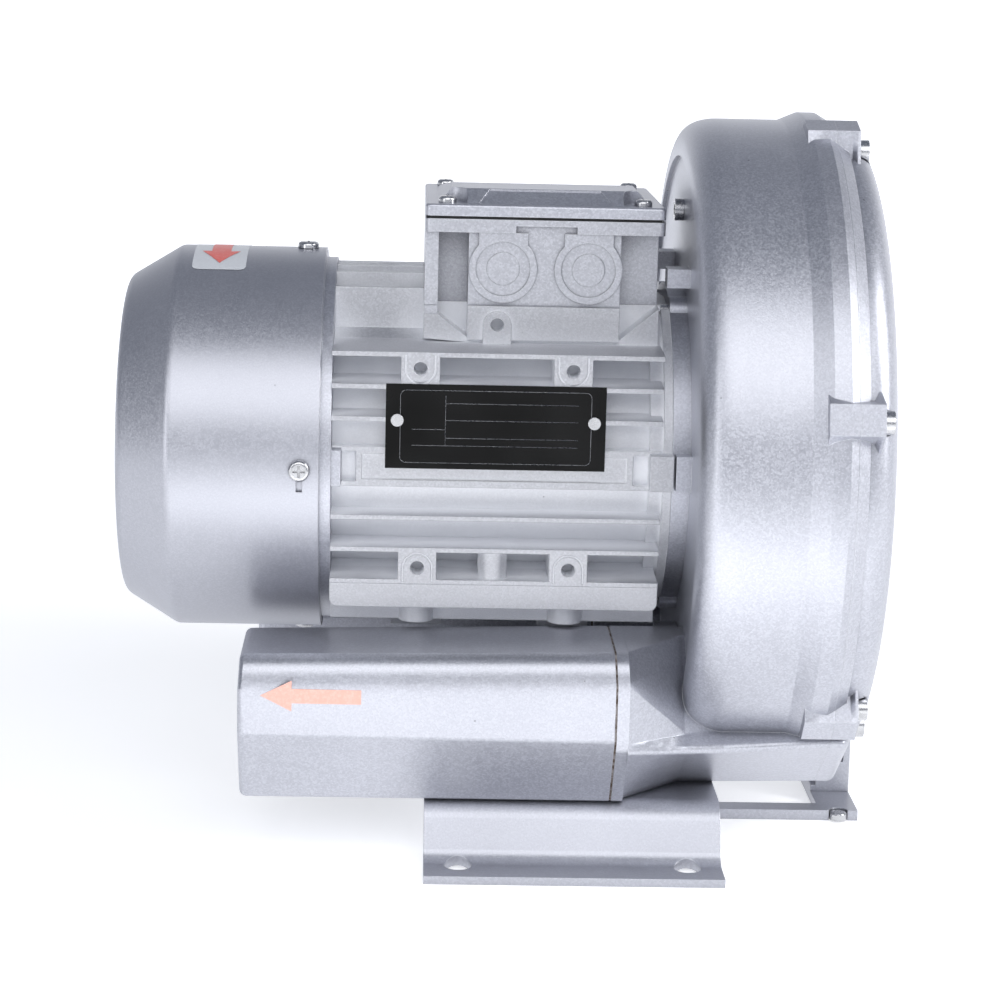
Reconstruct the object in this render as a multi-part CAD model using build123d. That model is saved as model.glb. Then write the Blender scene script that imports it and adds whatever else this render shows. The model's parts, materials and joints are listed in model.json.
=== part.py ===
from build123d import *
from math import sqrt
import os

# High-pressure side channel blower with its built-in motor.
# The origin is the centre of the four base holes, on the floor. The shaft lies along X at axis_height,
# the blower casing is at +X and the fan cowl at -X. The two silencers lie under the motor along X.
# Sizes are in millimetres.

# Running and seating clearances
running_gap = 0.05
seat_gap = 0.02
slip_gap = 0.3

# Impeller and the round casing that sets the other sizes
impeller_radius = 112.0
impeller_width = 28.8
impeller_tip_gap = 1.0
impeller_blade_count = 36
impeller_side_gap = 0.6
chamber_radius = impeller_radius + impeller_tip_gap
casing_wall = 12.0
ring_radius = chamber_radius + casing_wall
flange_step = 3.0
flange_radius = ring_radius + flange_step

# Shaft line and base
ground_clearance = 13.0
axis_height = flange_radius + ground_clearance
base_hole_spacing_x = 83.0
base_hole_inset_y = 12.5
base_hole_diameter = 10.0
base_length = 108.0
base_thickness = 3.0
base_step_height = ground_clearance + 10.0
base_step_half_width = ring_radius - 37.0
base_riser_run = 9.0
base_flange_run = 18.0
base_width = 2 * (base_step_half_width + base_riser_run + base_flange_run)
base_hole_spacing_y = base_width - 2 * base_hole_inset_y
base_bend_radius = 8.0
arm_reach = 60.0
arm_width = 9.0
arm_half_span = 34.0
arm_thickness = 4.0
strap_width = 15.0
rivet_head_diameter = 6.6
base_screw_diameter = 6.0
base_screw_head_diameter = 10.0
base_screw_head_height = 5.0
base_screw_boss_radius = 6.0
base_screw_boss_height = 11.0
base_screw_xs = (-30.0, 35.0)
base_screw_y = 56.0

# Motor frame
frame_back_x = -90.0
frame_length = 124.8
frame_front_x = frame_back_x + frame_length
barrel_outer_radius = 57.0
barrel_inner_radius = 52.0
collar_radius = 60.0
collar_length = 5.0
end_band_radius = 61.5
end_band_length = 3.3
fin_reach = 65.7
fin_first_offset = 18.2
fin_pitch = 11.9
fin_side_count = 3
fin_root_thickness = 4.2
fin_tip_thickness = 1.7
fin_front_setback = 4.3
top_fin_offsets = (6.0, 18.0, 30.0)
top_fin_tips = (67.4, 66.2, 62.0)
sole_bottom = 59.6
sole_half_width = 50.0
sole_inner = 34.0
skirt_face = 65.0
skirt_bottom = 51.8
skirt_top = 41.4
skirt_corner_radius = 3.0
sole_boss_radius = 6.3
side_boss_half_height = 7.3
side_boss_reach = 62.0
side_panel_half_height = 4.7
side_panel_depth = 0.8
side_panel_x0 = -78.8
side_panel_x1 = 18.2
side_pocket_half_height = 5.6
side_pocket_floor = 58.5
side_pocket_length = 5.6
side_pocket_gap = 2.2
ear_reach = 67.5
ear_half_height = 6.6
ear_length = 8.6
ear_back_length = 3.6
ear_gap = 0.9
ear_lobe_radius = 3.4
pad_spacing_x = 55.4
pad_centre_x = -30.3
pad_height = 36.8
pad_width = 14.0
pad_hole_diameter = 5.0
pad_hole_depth = 10.0
pad_groove_radius = 5.7
pad_groove_width = 0.7
pad_groove_depth = 0.5
pad_web_radius = 5.2
foot_pad_depth = 64.5
foot_pad_half_width = 38.0
foot_pad_length = 19.0

# Tie rods between the two ends of the frame
tie_rod_diameter = 5.0
tie_rod_radius = 59.4
tie_rod_angle = 66.2
tie_rod_boss_radius = 5.6
tie_rod_head_diameter = 8.0
tie_rod_head_length = 4.0
tie_rod_thread_depth = 8.0

# Terminal box on the frame
box_centre_x = -13.1
box_length = 88.0
box_width = 90.0
box_seat_height = 57.4
box_rim_bottom = 84.4
box_rim_top = 89.3
box_front_length = 56.0
box_front_half_width = 43.0
box_body_half_width = 32.0
box_wall = 3.0
pedestal_bottom = 44.8
pedestal_half_width = 44.6
pedestal_post_foot = 53.8
box_post_width = 5.0
lid_flange_top = 94.6
lid_crown_top = 99.6
lid_crown_depth = 26.0
lid_crown_margin = 4.6
lid_crown_slope = 5.2
lid_screw_inset = 8.0
lid_pocket_radius = 7.4
lid_skin = 2.2
gasket_thickness = 1.0
knockout_spacing = 31.4
knockout_height = 71.2
knockout_radius = 12.5
knockout_ring_radius = 10.0
knockout_disc_radius = 6.0
knockout_relief = 1.2
knockout_neck = 18.0
rim_notch_width = 22.4
rim_notch_height = 2.6
terminal_block_size = (52.0, 34.0, 9.0)
terminal_stud_diameter = 4.0
terminal_stud_pitch = 12.0
terminal_stud_row_gap = 16.0

# Nameplate
plate_length = 79.9
plate_height = 31.0
plate_thickness = 0.8
plate_centre_x = -30.4
plate_bottom = 0.4
rivet_diameter = 3.0
rivet_cap_diameter = 4.6
rivet_inset = 4.2

# Fan end: end shield, cowl and fan
shield_plate_thickness = 5.0
shield_rim_radius = 69.2
shield_skirt_radius = 71.4
shield_skirt_length = 13.0
shield_boss_radius = 31.0
shield_rib_count = 8
cowl_radius = 72.8
cowl_sheet = 1.2
cowl_open_x = -94.2
cowl_length = 74.8
cowl_bevel_length = 20.0
cowl_end_radius = 60.5
cowl_inner_slots = 8
cowl_outer_slots = 16
cowl_inner_slot_start = 12.0
cowl_inner_slot_end = 29.0
cowl_outer_slot_start = 34.0
cowl_outer_slot_end = 54.0
cowl_slot_width = 4.4
cowl_key_slot_width = 2.2
cowl_key_slot_length = 8.0
cowl_screw_diameter = 4.0
fan_disc_radius = 61.0
fan_blade_count = 9
fan_blade_width = 22.0
fan_hub_radius = 13.0
fan_plate = 2.4
fan_ring_thickness = 1.2
fan_cowl_clearance = 9.0

# Shaft and bearings
bearing_bore_diameter = 20.0
bearing_outer_diameter = 47.0
bearing_width = 14.0
bearing_race_gap = 0.1
shaft_core_diameter = 28.0
fan_journal_diameter = 16.0
impeller_seat_diameter = 18.0
bearing_inset = 3.2
seal_outer_diameter = 35.0
seal_width = 7.0
key_width = 5.0
key_height = 5.0

# Stator and rotor
stack_length = 72.0
stack_centre_x = -31.0
stator_bore_radius = 31.0
stator_slot_count = 24
stator_slot_depth = 10.5
stator_slot_width = 4.0
winding_overhang = 16.0
air_gap = 0.4
cage_ring_length = 8.0

# Blower casing
hub_radius = 62.0
hub_length = 4.6
lip_height = 2.0
lip_width = 2.5
lip_radius = ring_radius - 11.8
shoulder_length = 14.6
casing_depth = 53.4
flange_length = 8.8
flange_ramp = 7.0
flange_flat = 6.0
rim_radius = ring_radius + 1.4
plate_wall = 5.6
inner_wall = 4.5
channel_radius = 13.5
channel_mean_radius = impeller_radius - channel_radius
stripper_half_angle = 20.0
mount_boss_radius_y = 32.0
mount_boss_height = 68.0
mount_boss_size = (10.0, 7.0)
back_screw_radius = 90.3
back_screw_diameter = 8.3
back_screw_head = 3.5

# Cover and its screws
cover_flange_thickness = 4.4
cover_flange_cone = 3.0
cover_crest = 16.6
cover_shoulder_radius = ring_radius - 4.0
cover_crest_radius = channel_mean_radius
cover_cap_depth = 7.9
cover_cap_round = 3.5
cover_dish_radius = 66.0
cover_dish_depth = 11.4
cover_rib_count = 6
lug_angles = (13.8, 73.8, 133.8, 193.8, 253.8, 318.0)
lug_outer_radius = ring_radius + 5.8
lug_bolt_radius = lug_outer_radius - 9.9
lug_foot = 12.0
lug_outer_half = 5.5
lug_narrow_half = 8.0
lug_wide_half = 15.4
lug_fin_half = 11.4
lug_fin_length = 2.6
lug_taper_length = 8.0
lug_housing_length = 11.0
lug_cover_length = 8.5
cover_screw_diameter = 5.0
cover_screw_head_diameter = 8.5
cover_screw_head_height = 4.2
cover_screw_length = 16.0
seal_cord = 1.6
seal_offset = 2.4

# Silencers and their ducts
duct_seam_x = 13.3
silencer_length = 134.5
duct_face = ring_radius - 18.0
duct_face_draft = 3.0
duct_top = axis_height - 60.5
duct_top_draft = 3.0
duct_inner_face = 34.0
duct_wall = 4.0
duct_chamfer_start = base_step_height + 28.0
duct_chamfer_foot = base_step_half_width
duct_corner_radius = 9.0
duct_rib_end = 18.3
silencer_seal = 0.8
foam_wall = 9.0
port_centre_y = 70.0
port_centre_z = duct_chamfer_start
port_bore_radius = 19.5
port_boss_radius = 24.0
port_length = 16.0

# Leg under the cover
leg_sheet = 2.5
leg_half_width = 9.0
leg_boss_radius = 7.0
leg_boss_drop = 112.0
leg_screw_diameter = 6.0

# Places worked out from the sizes above
shaft_line = Axis((0, 0, axis_height), (1, 0, 0))
lip_x = frame_front_x + hub_length
plate_x = lip_x + lip_height
joint_x = lip_x + casing_depth
impeller_x = joint_x - impeller_side_gap - impeller_width
channel_x = impeller_x - impeller_side_gap
fin_front_x = frame_front_x - fin_front_setback
drive_bearing_x = frame_front_x + bearing_inset
drive_bearing_end = drive_bearing_x + bearing_width
seal_x = channel_x - seal_width
shield_face_x = frame_back_x - shield_plate_thickness
fan_bearing_x = frame_back_x - bearing_width
fan_bearing_end = frame_back_x
cowl_end_x = cowl_open_x - cowl_length
fan_front_x = cowl_end_x + fan_cowl_clearance
fan_back_x = fan_front_x + fan_blade_width
stack_x0 = stack_centre_x - stack_length / 2
stack_x1 = stack_centre_x + stack_length / 2
rotor_radius = stator_bore_radius - air_gap
silencer_x = duct_seam_x - silencer_length
base_end_x = base_length / 2
arm_end_x = base_end_x + arm_reach
arm_start_x = lip_x - 8
cover_crest_x = joint_x + cover_crest
leg_face_x = arm_end_x
pad_offsets = (-pad_spacing_x / 2, pad_spacing_x / 2)
side_fin_heights = [fin_first_offset + fin_pitch * i for i in range(fin_side_count)]
port_rod = (-port_centre_y, port_centre_z - axis_height)

# Cross-sections of a duct: x, ridge and its height, knee and its height, upper corner, crown and foot
duct_stations = (
    (duct_rib_end, ring_radius - 19.5, base_step_height + 23.2, ring_radius - 20.0, base_step_height + 27.0,
     ring_radius - 21.0, ring_radius - 33.0, ring_radius - 41.0),
    (40.0, ring_radius - 25.5, base_step_height + 22.8, ring_radius - 34.0, base_step_height + 27.0,
     ring_radius - 50.0, ring_radius - 59.0, ring_radius - 63.0),
    (base_end_x, ring_radius - 29.0, base_step_height + 22.6, ring_radius - 40.6, base_step_height + 26.5,
     ring_radius - 61.0, ring_radius - 68.0, ring_radius - 64.5),
    (joint_x, ring_radius - 33.0, base_step_height + 24.0, ring_radius - 41.0, base_step_height + 27.0,
     ring_radius - 61.0, ring_radius - 68.0, ring_radius - 67.0),
)


def disc(x0, x1, radius):
    """Solid disc on the shaft line from x0 to x1."""
    base = Plane(origin=(x0, 0, axis_height), x_dir=(0, 1, 0), z_dir=(1, 0, 0))
    return extrude(base * Circle(radius), x1 - x0)


def tube(x0, x1, outer, inner):
    """Ring on the shaft line from x0 to x1."""
    base = Plane(origin=(x0, 0, axis_height), x_dir=(0, 1, 0), z_dir=(1, 0, 0))
    return extrude(base * (Circle(outer) - Circle(inner)), x1 - x0)


def rod(x0, x1, radius, y, z):
    """Round bar along X whose centre is at y and at z above the shaft line."""
    base = Plane(origin=(x0, y, axis_height + z), x_dir=(0, 1, 0), z_dir=(1, 0, 0))
    return extrude(base * Circle(radius), x1 - x0)


def slab(x0, x1, y0, y1, z0, z1):
    """Block between two corners, with z measured from the shaft line."""
    middle = Pos((x0 + x1) / 2, (y0 + y1) / 2, axis_height + (z0 + z1) / 2)
    return middle * Box(x1 - x0, y1 - y0, z1 - z0)


def turned(lines, arc=360.0, start=0.0):
    """Closed outline in (x, radius), turned about the shaft line."""
    plane = Plane(origin=(0, 0, axis_height), x_dir=(1, 0, 0), z_dir=(0, -1, 0))
    face = plane * make_face(lines)
    body = revolve(face, axis=shaft_line, revolution_arc=arc)
    return body.rotate(shaft_line, start)


def about_shaft(shape, angles):
    """Copies of a shape turned about the shaft line, as a list."""
    return [shape.rotate(shaft_line, angle) for angle in angles]


def full_circle(count, first=0.0):
    """Angles of a ring of copies."""
    return [first + 360 / count * i for i in range(count)]


def both_sides(shape):
    """A shape and its mirror image across the shaft's upright plane."""
    return shape + mirror(shape, about=Plane.XZ)


def group(shapes):
    """Separate solids kept as one node."""
    solids = []
    for shape in shapes:
        solids += shape.solids()
    return Compound(children=solids)


def section_plane(x):
    """Plane across X whose axes are Y and Z from the floor."""
    return Plane(origin=(x, 0, 0), x_dir=(0, 1, 0), z_dir=(1, 0, 0))


def seen_at(angle):
    """Turn from the top of the ring to an angle measured up from the near side."""
    return 90 - angle


# Base plate, bent from sheet, with two arms and a cross strap

def base_profile():
    """Bent section of the base in (y, z), as a thin strip from flange to flange."""
    half = base_width / 2
    foot = base_step_half_width + base_riser_run
    top = base_step_height - base_thickness / 2
    low = base_thickness / 2
    path = Polyline(
        (-half, low),
        (-foot, low),
        (-base_step_half_width, top),
        (base_step_half_width, top),
        (foot, low),
        (half, low),
    )
    corners = path.vertices().sort_by(Axis.X)[1:-1]
    path = fillet(corners, base_bend_radius)
    return trace(path, base_thickness)


def base_plate():
    """Sheet base: the stepped plate that carries the silencers and the two arms to the leg."""
    body = extrude(section_plane(-base_length / 2) * base_profile(), base_length)
    for x in (-base_hole_spacing_x / 2, base_hole_spacing_x / 2):
        for y in (-base_hole_spacing_y / 2, base_hole_spacing_y / 2):
            body -= Pos(x, y, base_thickness / 2) * Cylinder(base_hole_diameter / 2, base_thickness * 3)
    floor = -axis_height
    y0 = -arm_half_span
    y1 = y0 + arm_width
    arm = slab(arm_start_x, arm_end_x, y0, y1, floor, floor + arm_thickness)
    drop_top = floor + base_step_height - base_thickness / 2
    drop = slab(arm_start_x, arm_start_x + arm_thickness, y0, y1, floor, drop_top)
    strap = slab(arm_end_x - strap_width, arm_end_x, y0, -y0, floor, floor + arm_thickness)
    body -= disc(lip_x - 1, base_end_x + 1, ring_radius + 1)
    body += both_sides(arm + drop) + strap
    for hole in base_screw_bars(0, base_step_height + 1, base_screw_diameter / 2 + slip_gap):
        body -= both_sides(hole)
    rivet_x = arm_end_x - strap_width / 2
    rivet_hole = Cylinder(rivet_head_diameter / 2 + slip_gap, arm_thickness * 2)
    for y in (-arm_half_span, arm_half_span):
        body -= Pos(rivet_x, y, arm_thickness / 2) * rivet_hole
    return body


def base_screw_bars(low, high, radius):
    """Upright bars at the near pair of base screws, as a list."""
    return [Pos(x, -base_screw_y, (low + high) / 2) * Cylinder(radius, high - low) for x in base_screw_xs]


def base_screws():
    """Screws that hold the silencers and ducts down on the base."""
    low = base_step_height - base_thickness
    shapes = []
    shanks = base_screw_bars(low, base_step_height + base_screw_boss_height - 2, base_screw_diameter / 2)
    heads = base_screw_bars(low - base_screw_head_height, low, base_screw_head_diameter / 2)
    for shank, head in zip(shanks, heads):
        screw = shank + head
        shapes += [screw, mirror(screw, about=Plane.XZ)]
    return group(shapes)


def arm_rivets():
    """Round-headed rivets let into the ends of the two arms."""
    shapes = []
    for y in (-arm_half_span, arm_half_span):
        head = Cylinder(rivet_head_diameter / 2, arm_thickness - 1.0)
        head = fillet(head.edges().filter_by(GeomType.CIRCLE).sort_by(Axis.Z)[-1:], 0.8)
        shapes.append(Pos(arm_end_x - strap_width / 2, y, arm_thickness / 2) * head)
    return group(shapes)


# Silencers and the ducts that lead to the casing

def silencer_outline(x):
    """Cross-section of the silencer in (y, z) on the near side."""
    share = (duct_seam_x - x) / silencer_length
    face = duct_face - duct_face_draft * share
    top = duct_top - duct_top_draft * share
    shoulder = duct_corner_radius
    return Polyline(
        (-duct_chamfer_foot, base_step_height),
        (-face, duct_chamfer_start),
        (-face, top - shoulder),
        (-face + shoulder * 1.4, top),
        *duct_inner_side(top),
        close=True,
    )


def duct_inner_side(top):
    """The four inner corners that every cross-section shares."""
    shoulder = duct_corner_radius
    return [
        (-duct_inner_face - 2 * shoulder, top),
        (-duct_inner_face, top - 1.8 * shoulder),
        (-duct_inner_face, base_step_height + shoulder),
        (-duct_inner_face - shoulder, base_step_height),
    ]


def duct_outline(x):
    """Cross-section of the duct in (y, z) on the near side, between the two nearest stations."""
    for first, second in zip(duct_stations, duct_stations[1:]):
        if x <= second[0]:
            break
    share = (x - first[0]) / (second[0] - first[0])
    sizes = [a + (b - a) * share for a, b in zip(first, second)]
    ridge, ridge_z, knee, knee_z, upper, crown, foot = sizes[1:]
    return Polyline(
        (-foot, base_step_height),
        (-ridge, ridge_z),
        (-knee, knee_z),
        (-upper, duct_top - duct_corner_radius),
        (-crown, duct_top),
        *duct_inner_side(duct_top),
        close=True,
    )


def duct_face_at(x, outline, inset, corner):
    """Face across X from a cross-section, moved inwards or with round corners."""
    face = make_face(outline)
    if inset > 0:
        face = offset(face, -inset, kind=Kind.INTERSECTION)
    else:
        face = fillet([v for v in face.vertices() if is_corner(v, outline)], corner)
    return section_plane(x) * face


def is_corner(vertex, outline):
    """Whether a cross-section turns enough at a vertex to be rounded."""
    edges = [e for e in outline.edges() if (e @ 0 - vertex.center()).length < 0.01
             or (e @ 1 - vertex.center()).length < 0.01]
    turn = edges[0].tangent_at(0.5).get_angle(edges[1].tangent_at(0.5))
    return turn > 25


def silencer_body(inset, x0, x1):
    """Solid through the silencer's cross-sections between x0 and x1."""
    return loft([duct_face_at(x, silencer_outline(x), inset, 3.0) for x in (x0, x1)])


def duct_body(inset, x1):
    """Solid through the duct's cross-sections from its rib to x1."""
    places = [station[0] for station in duct_stations if station[0] < x1] + [x1]
    body = None
    for a, b in zip(places, places[1:]):
        piece = loft([duct_face_at(x, duct_outline(x), inset, 2.0) for x in (a, b)])
        body = piece if body is None else body + piece
    return body


def silencer():
    """Cast silencer shell on the near side, open at its seam and ported at its end."""
    body = silencer_body(0, silencer_x, duct_seam_x)
    rim = body.faces().sort_by(Axis.X)[0].edges()
    body = fillet(rim, 2.6)
    body -= silencer_body(duct_wall, silencer_x + duct_wall * 1.5, duct_seam_x + 1)
    collar = rod(silencer_x + duct_wall, silencer_x + port_length, port_boss_radius, *port_rod)
    body += collar & silencer_body(duct_wall / 2, silencer_x + 1, duct_seam_x)
    body += screw_bosses(0)[0]
    body -= screw_boss_holes()[0]
    body -= rod(silencer_x - 1, silencer_x + port_length + 1, port_bore_radius, *port_rod)
    return body


def screw_bosses(gap):
    """Upright bosses over the near pair of base screws, as a list."""
    return base_screw_bars(base_step_height, base_step_height + base_screw_boss_height + gap,
                           base_screw_boss_radius + gap)


def screw_boss_holes():
    """Blind holes of the near pair of base screws, as a list."""
    return base_screw_bars(base_step_height - 1, base_step_height + base_screw_boss_height - 1,
                           base_screw_diameter / 2 + seat_gap)


def silencer_foam():
    """Foam sleeve that lines the silencer round the air passage."""
    x0 = silencer_x + port_length + slip_gap
    outer = silencer_body(duct_wall + slip_gap, x0, duct_seam_x - slip_gap)
    inner = silencer_body(duct_wall + foam_wall, x0 - 1, duct_seam_x + 1)
    return outer - inner - screw_bosses(slip_gap)[0]


def silencer_gasket():
    """Flat gasket in the seam between silencer and duct."""
    body = silencer_body(0.6, duct_seam_x, duct_seam_x + silencer_seal)
    return body - silencer_body(duct_wall, duct_seam_x - 1, duct_seam_x + silencer_seal + 1)


# Blower casing, motor side

def casing_outline():
    """Outer skin of the motor side of the casing in (x, radius)."""
    shoulder_x = lip_x + shoulder_length
    lines = Polyline(
        (joint_x, 0),
        (frame_front_x, 0),
        (frame_front_x, hub_radius),
        (plate_x, hub_radius),
        (plate_x, lip_radius - lip_width),
        (lip_x, lip_radius - lip_width),
        (lip_x, lip_radius),
    )
    shoulder = Spline((lip_x, lip_radius), (shoulder_x, ring_radius), tangents=[(0, 1), (1, 0)])
    flange_x = joint_x - flange_length
    rest = Polyline(
        (shoulder_x, ring_radius),
        (flange_x - flange_ramp, ring_radius),
        (flange_x, flange_radius),
        (flange_x + flange_flat, flange_radius),
        (joint_x, rim_radius),
        (joint_x, 0),
    )
    return [lines, shoulder, rest]


def side_channel(x):
    """Round air channel on one side of the impeller, broken by the stripper at the bottom."""
    face_plane = Plane(origin=(0, 0, axis_height), x_dir=(1, 0, 0), z_dir=(0, -1, 0))
    face = face_plane * Pos(x, -channel_mean_radius) * Circle(channel_radius)
    body = revolve(face, axis=shaft_line, revolution_arc=360 - 2 * stripper_half_angle)
    return body.rotate(shaft_line, stripper_half_angle)


def lug_section(x, foot_half):
    """Cross-section of a screw lug at the top of the ring, wider at its foot."""
    foot = lug_outer_radius - lug_foot
    plane = Plane(origin=(x, 0, axis_height), x_dir=(0, 1, 0), z_dir=(1, 0, 0))
    return plane * make_face(Polyline(
        (-foot_half, foot), (-lug_outer_half, lug_outer_radius), (lug_outer_half, lug_outer_radius),
        (foot_half, foot), close=True
    ))


def housing_lugs():
    """Lugs of the housing, which widen away from the joint, as a list."""
    start = joint_x - lug_housing_length
    taper_end = start + lug_taper_length
    shape = loft([lug_section(start, lug_wide_half), lug_section(taper_end, lug_narrow_half)])
    shape += extrude(lug_section(taper_end, lug_narrow_half), joint_x - taper_end)
    return about_shaft(shape, [seen_at(a) for a in lug_angles])


def cover_lugs():
    """Lugs of the cover, each with a thin fin at its outer end, as a list."""
    end = joint_x + lug_cover_length
    shape = extrude(lug_section(joint_x, lug_narrow_half), lug_cover_length)
    shape += loft([lug_section(end - lug_fin_length, lug_narrow_half), lug_section(end - 1, lug_fin_half)])
    shape += extrude(lug_section(end - 1, lug_fin_half), 1)
    return about_shaft(shape, [seen_at(a) for a in lug_angles])


def mount_bosses():
    """Four square bosses on the motor side of the casing."""
    width, height = mount_boss_size
    body = None
    for z in (-mount_boss_height, mount_boss_height):
        boss = slab(frame_front_x - 2, plate_x + 1, -mount_boss_radius_y - width / 2,
                    -mount_boss_radius_y + width / 2, z - height / 2, z + height / 2)
        body = boss if body is None else body + boss
    return both_sides(body)


def blower_housing():
    """Motor side of the casing: hub, back plate, ring, air channel and the two ducts."""
    body = turned(casing_outline())
    rib = silencer_body(0, duct_seam_x + silencer_seal, duct_rib_end)
    body += both_sides(rib + duct_body(0, joint_x))
    for piece in housing_lugs():
        body += piece
    body -= disc(channel_x, joint_x + 1, chamber_radius)
    body -= tube(plate_x + plate_wall, channel_x + 1, channel_mean_radius - channel_radius - inner_wall,
                 bearing_outer_diameter / 2 + 7)
    body -= side_channel(channel_x)
    passage = silencer_body(duct_wall, duct_seam_x, duct_rib_end) + duct_body(duct_wall, channel_x - 1)
    body -= both_sides(passage)
    body += both_sides(screw_bosses(0)[1])
    body -= both_sides(screw_boss_holes()[1])
    body -= disc(frame_front_x - 1, drive_bearing_end, bearing_outer_diameter / 2 + seat_gap)
    body -= disc(drive_bearing_end - 1, channel_x + 1, shaft_core_diameter / 2)
    body -= disc(seal_x, channel_x + 1, seal_outer_diameter / 2 + seat_gap)
    body += mount_bosses()
    ear = slab(frame_front_x + ear_gap, plate_x + 1, -ear_half_height, ear_half_height,
               hub_radius - 3, ear_reach)
    bosses = tie_rod_bars(frame_front_x, plate_x + 1, tie_rod_boss_radius)
    for piece in about_shaft(ear, full_circle(2, 90)) + bosses:
        body += piece
    rod_end = frame_front_x + tie_rod_thread_depth
    for hole in tie_rod_bars(frame_front_x - 1, rod_end, tie_rod_diameter / 2 + running_gap):
        body -= hole
    for hole in cover_screw_holes(joint_x - lug_housing_length + 1.5, joint_x + 1, running_gap):
        body -= hole
    groove_radius = chamber_radius + seal_offset
    body -= tube(joint_x - seal_cord + slip_gap, joint_x + 1, groove_radius + seal_cord / 2 + seat_gap,
                 groove_radius - seal_cord / 2 - seat_gap)
    return body


def back_screws():
    """Socket screws set into the back plate."""
    head = rod(plate_x - back_screw_head, plate_x, back_screw_diameter / 2, 0, back_screw_radius)
    head -= rod(plate_x - back_screw_head - 1, plate_x - back_screw_head + 2, back_screw_diameter / 4, 0,
                back_screw_radius)
    return group(about_shaft(head, full_circle(2)))


def cover_screw_holes(x0, x1, gap):
    """Screw holes round the casing's flange, as a list."""
    hole = rod(x0, x1, cover_screw_diameter / 2 + gap, 0, lug_bolt_radius)
    return about_shaft(hole, [seen_at(a) for a in lug_angles])


def tie_rod_bars(x0, x1, radius):
    """Bars at the four tie rods, as a list."""
    bar = rod(x0, x1, radius, 0, tie_rod_radius)
    return about_shaft(bar, [seen_at(side + turn * tie_rod_angle) for side in (0, 180) for turn in (-1, 1)])


def casing_seal():
    """Sealing cord in the groove of the joint."""
    radius = chamber_radius + seal_offset
    return tube(joint_x - seal_cord + slip_gap, joint_x, radius + seal_cord / 2, radius - seal_cord / 2)


# Cover of the casing

def cover_outline():
    """Outer skin of the cover in (x, radius)."""
    flange_x = joint_x + cover_flange_thickness
    dish_x = joint_x + cover_dish_depth
    rim = Polyline(
        (dish_x, 0), (joint_x, 0), (joint_x, rim_radius), (flange_x, rim_radius - cover_flange_cone),
        (flange_x, cover_shoulder_radius)
    )
    crest = (cover_crest_x, cover_crest_radius)
    outside = Spline((flange_x, cover_shoulder_radius), crest, tangents=[(1, 0), (0, -1)])
    inside = Spline(crest, (dish_x, cover_dish_radius), tangents=[(0, -1), (-1, -1)])
    floor = Line((dish_x, cover_dish_radius), (dish_x, 0))
    return [rim, outside, inside, floor]


def blower_cover():
    """Front of the casing: domed air channel, dished centre with ribs, lugs and duct caps."""
    body = turned(cover_outline())
    cap = extrude(duct_face_at(joint_x, duct_outline(joint_x), 0, 2.0), cover_cap_depth)
    cap = fillet(cap.faces().sort_by(Axis.X)[-1].edges(), cover_cap_round)
    body += both_sides(cap)
    for piece in cover_lugs():
        body += piece
    dish_x = joint_x + cover_dish_depth
    rib = slab(dish_x - 1, dish_x + 3.4, -2, 2, 20, cover_dish_radius + 8)
    for piece in about_shaft(rib, full_circle(cover_rib_count)):
        body += piece
    body += disc(dish_x - 1, dish_x + 3.4, 24)
    body += rod(joint_x + cover_flange_thickness, leg_face_x - leg_sheet, leg_boss_radius, 0, -leg_boss_drop)
    body -= side_channel(joint_x)
    body -= disc(joint_x - 1, dish_x - 3, 22)
    seat_x = joint_x + lug_cover_length
    for hole in cover_screw_holes(joint_x - 1, seat_x + 1, slip_gap):
        body -= hole
    head_room = (cover_screw_head_diameter - cover_screw_diameter) / 2 + 0.6
    for hole in cover_screw_holes(seat_x, seat_x + 12, head_room):
        body -= hole
    return body - leg_hole(leg_face_x - leg_sheet - 11, leg_face_x, running_gap)


def leg_hole(x0, x1, gap):
    """Screw hole of the leg between x0 and x1."""
    return rod(x0, x1, leg_screw_diameter / 2 + gap, 0, -leg_boss_drop)


def socket_screw(x, y, z, diameter, head_diameter, head_height, length):
    """Cap screw along X with its head from x outwards."""
    body = rod(x - length, x, diameter / 2, y, z) + rod(x, x + head_height, head_diameter / 2, y, z)
    socket = Plane(origin=(x + head_height * 0.45, y, axis_height + z), x_dir=(0, 1, 0), z_dir=(1, 0, 0))
    return body - extrude(socket * RegularPolygon(head_diameter * 0.27, 6), head_height)


def cover_screws():
    """Cap screws round the cover."""
    screw = socket_screw(joint_x + lug_cover_length, 0, lug_bolt_radius, cover_screw_diameter,
                         cover_screw_head_diameter, cover_screw_head_height, cover_screw_length)
    return group(about_shaft(screw, [seen_at(a) for a in lug_angles]))


def cover_leg():
    """Bent leg between the cross strap and the cover."""
    top = -leg_boss_drop + leg_boss_radius
    low = arm_thickness - axis_height
    web = slab(leg_face_x - leg_sheet, leg_face_x, -leg_half_width, leg_half_width, low, top)
    back = leg_face_x - strap_width
    side = slab(back + 2, leg_face_x, -leg_half_width, -leg_half_width + leg_sheet, low, low + 12)
    body = web + both_sides(side)
    body += slab(back, leg_face_x, -leg_half_width, leg_half_width, low, low + leg_sheet)
    return body - leg_hole(leg_face_x - leg_sheet - 1, leg_face_x + 1, slip_gap)


def leg_screw():
    """Screw that holds the leg to the cover."""
    return socket_screw(leg_face_x, 0, -leg_boss_drop, leg_screw_diameter, 10.0, 6.0, 10.0)


# Impeller

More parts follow.
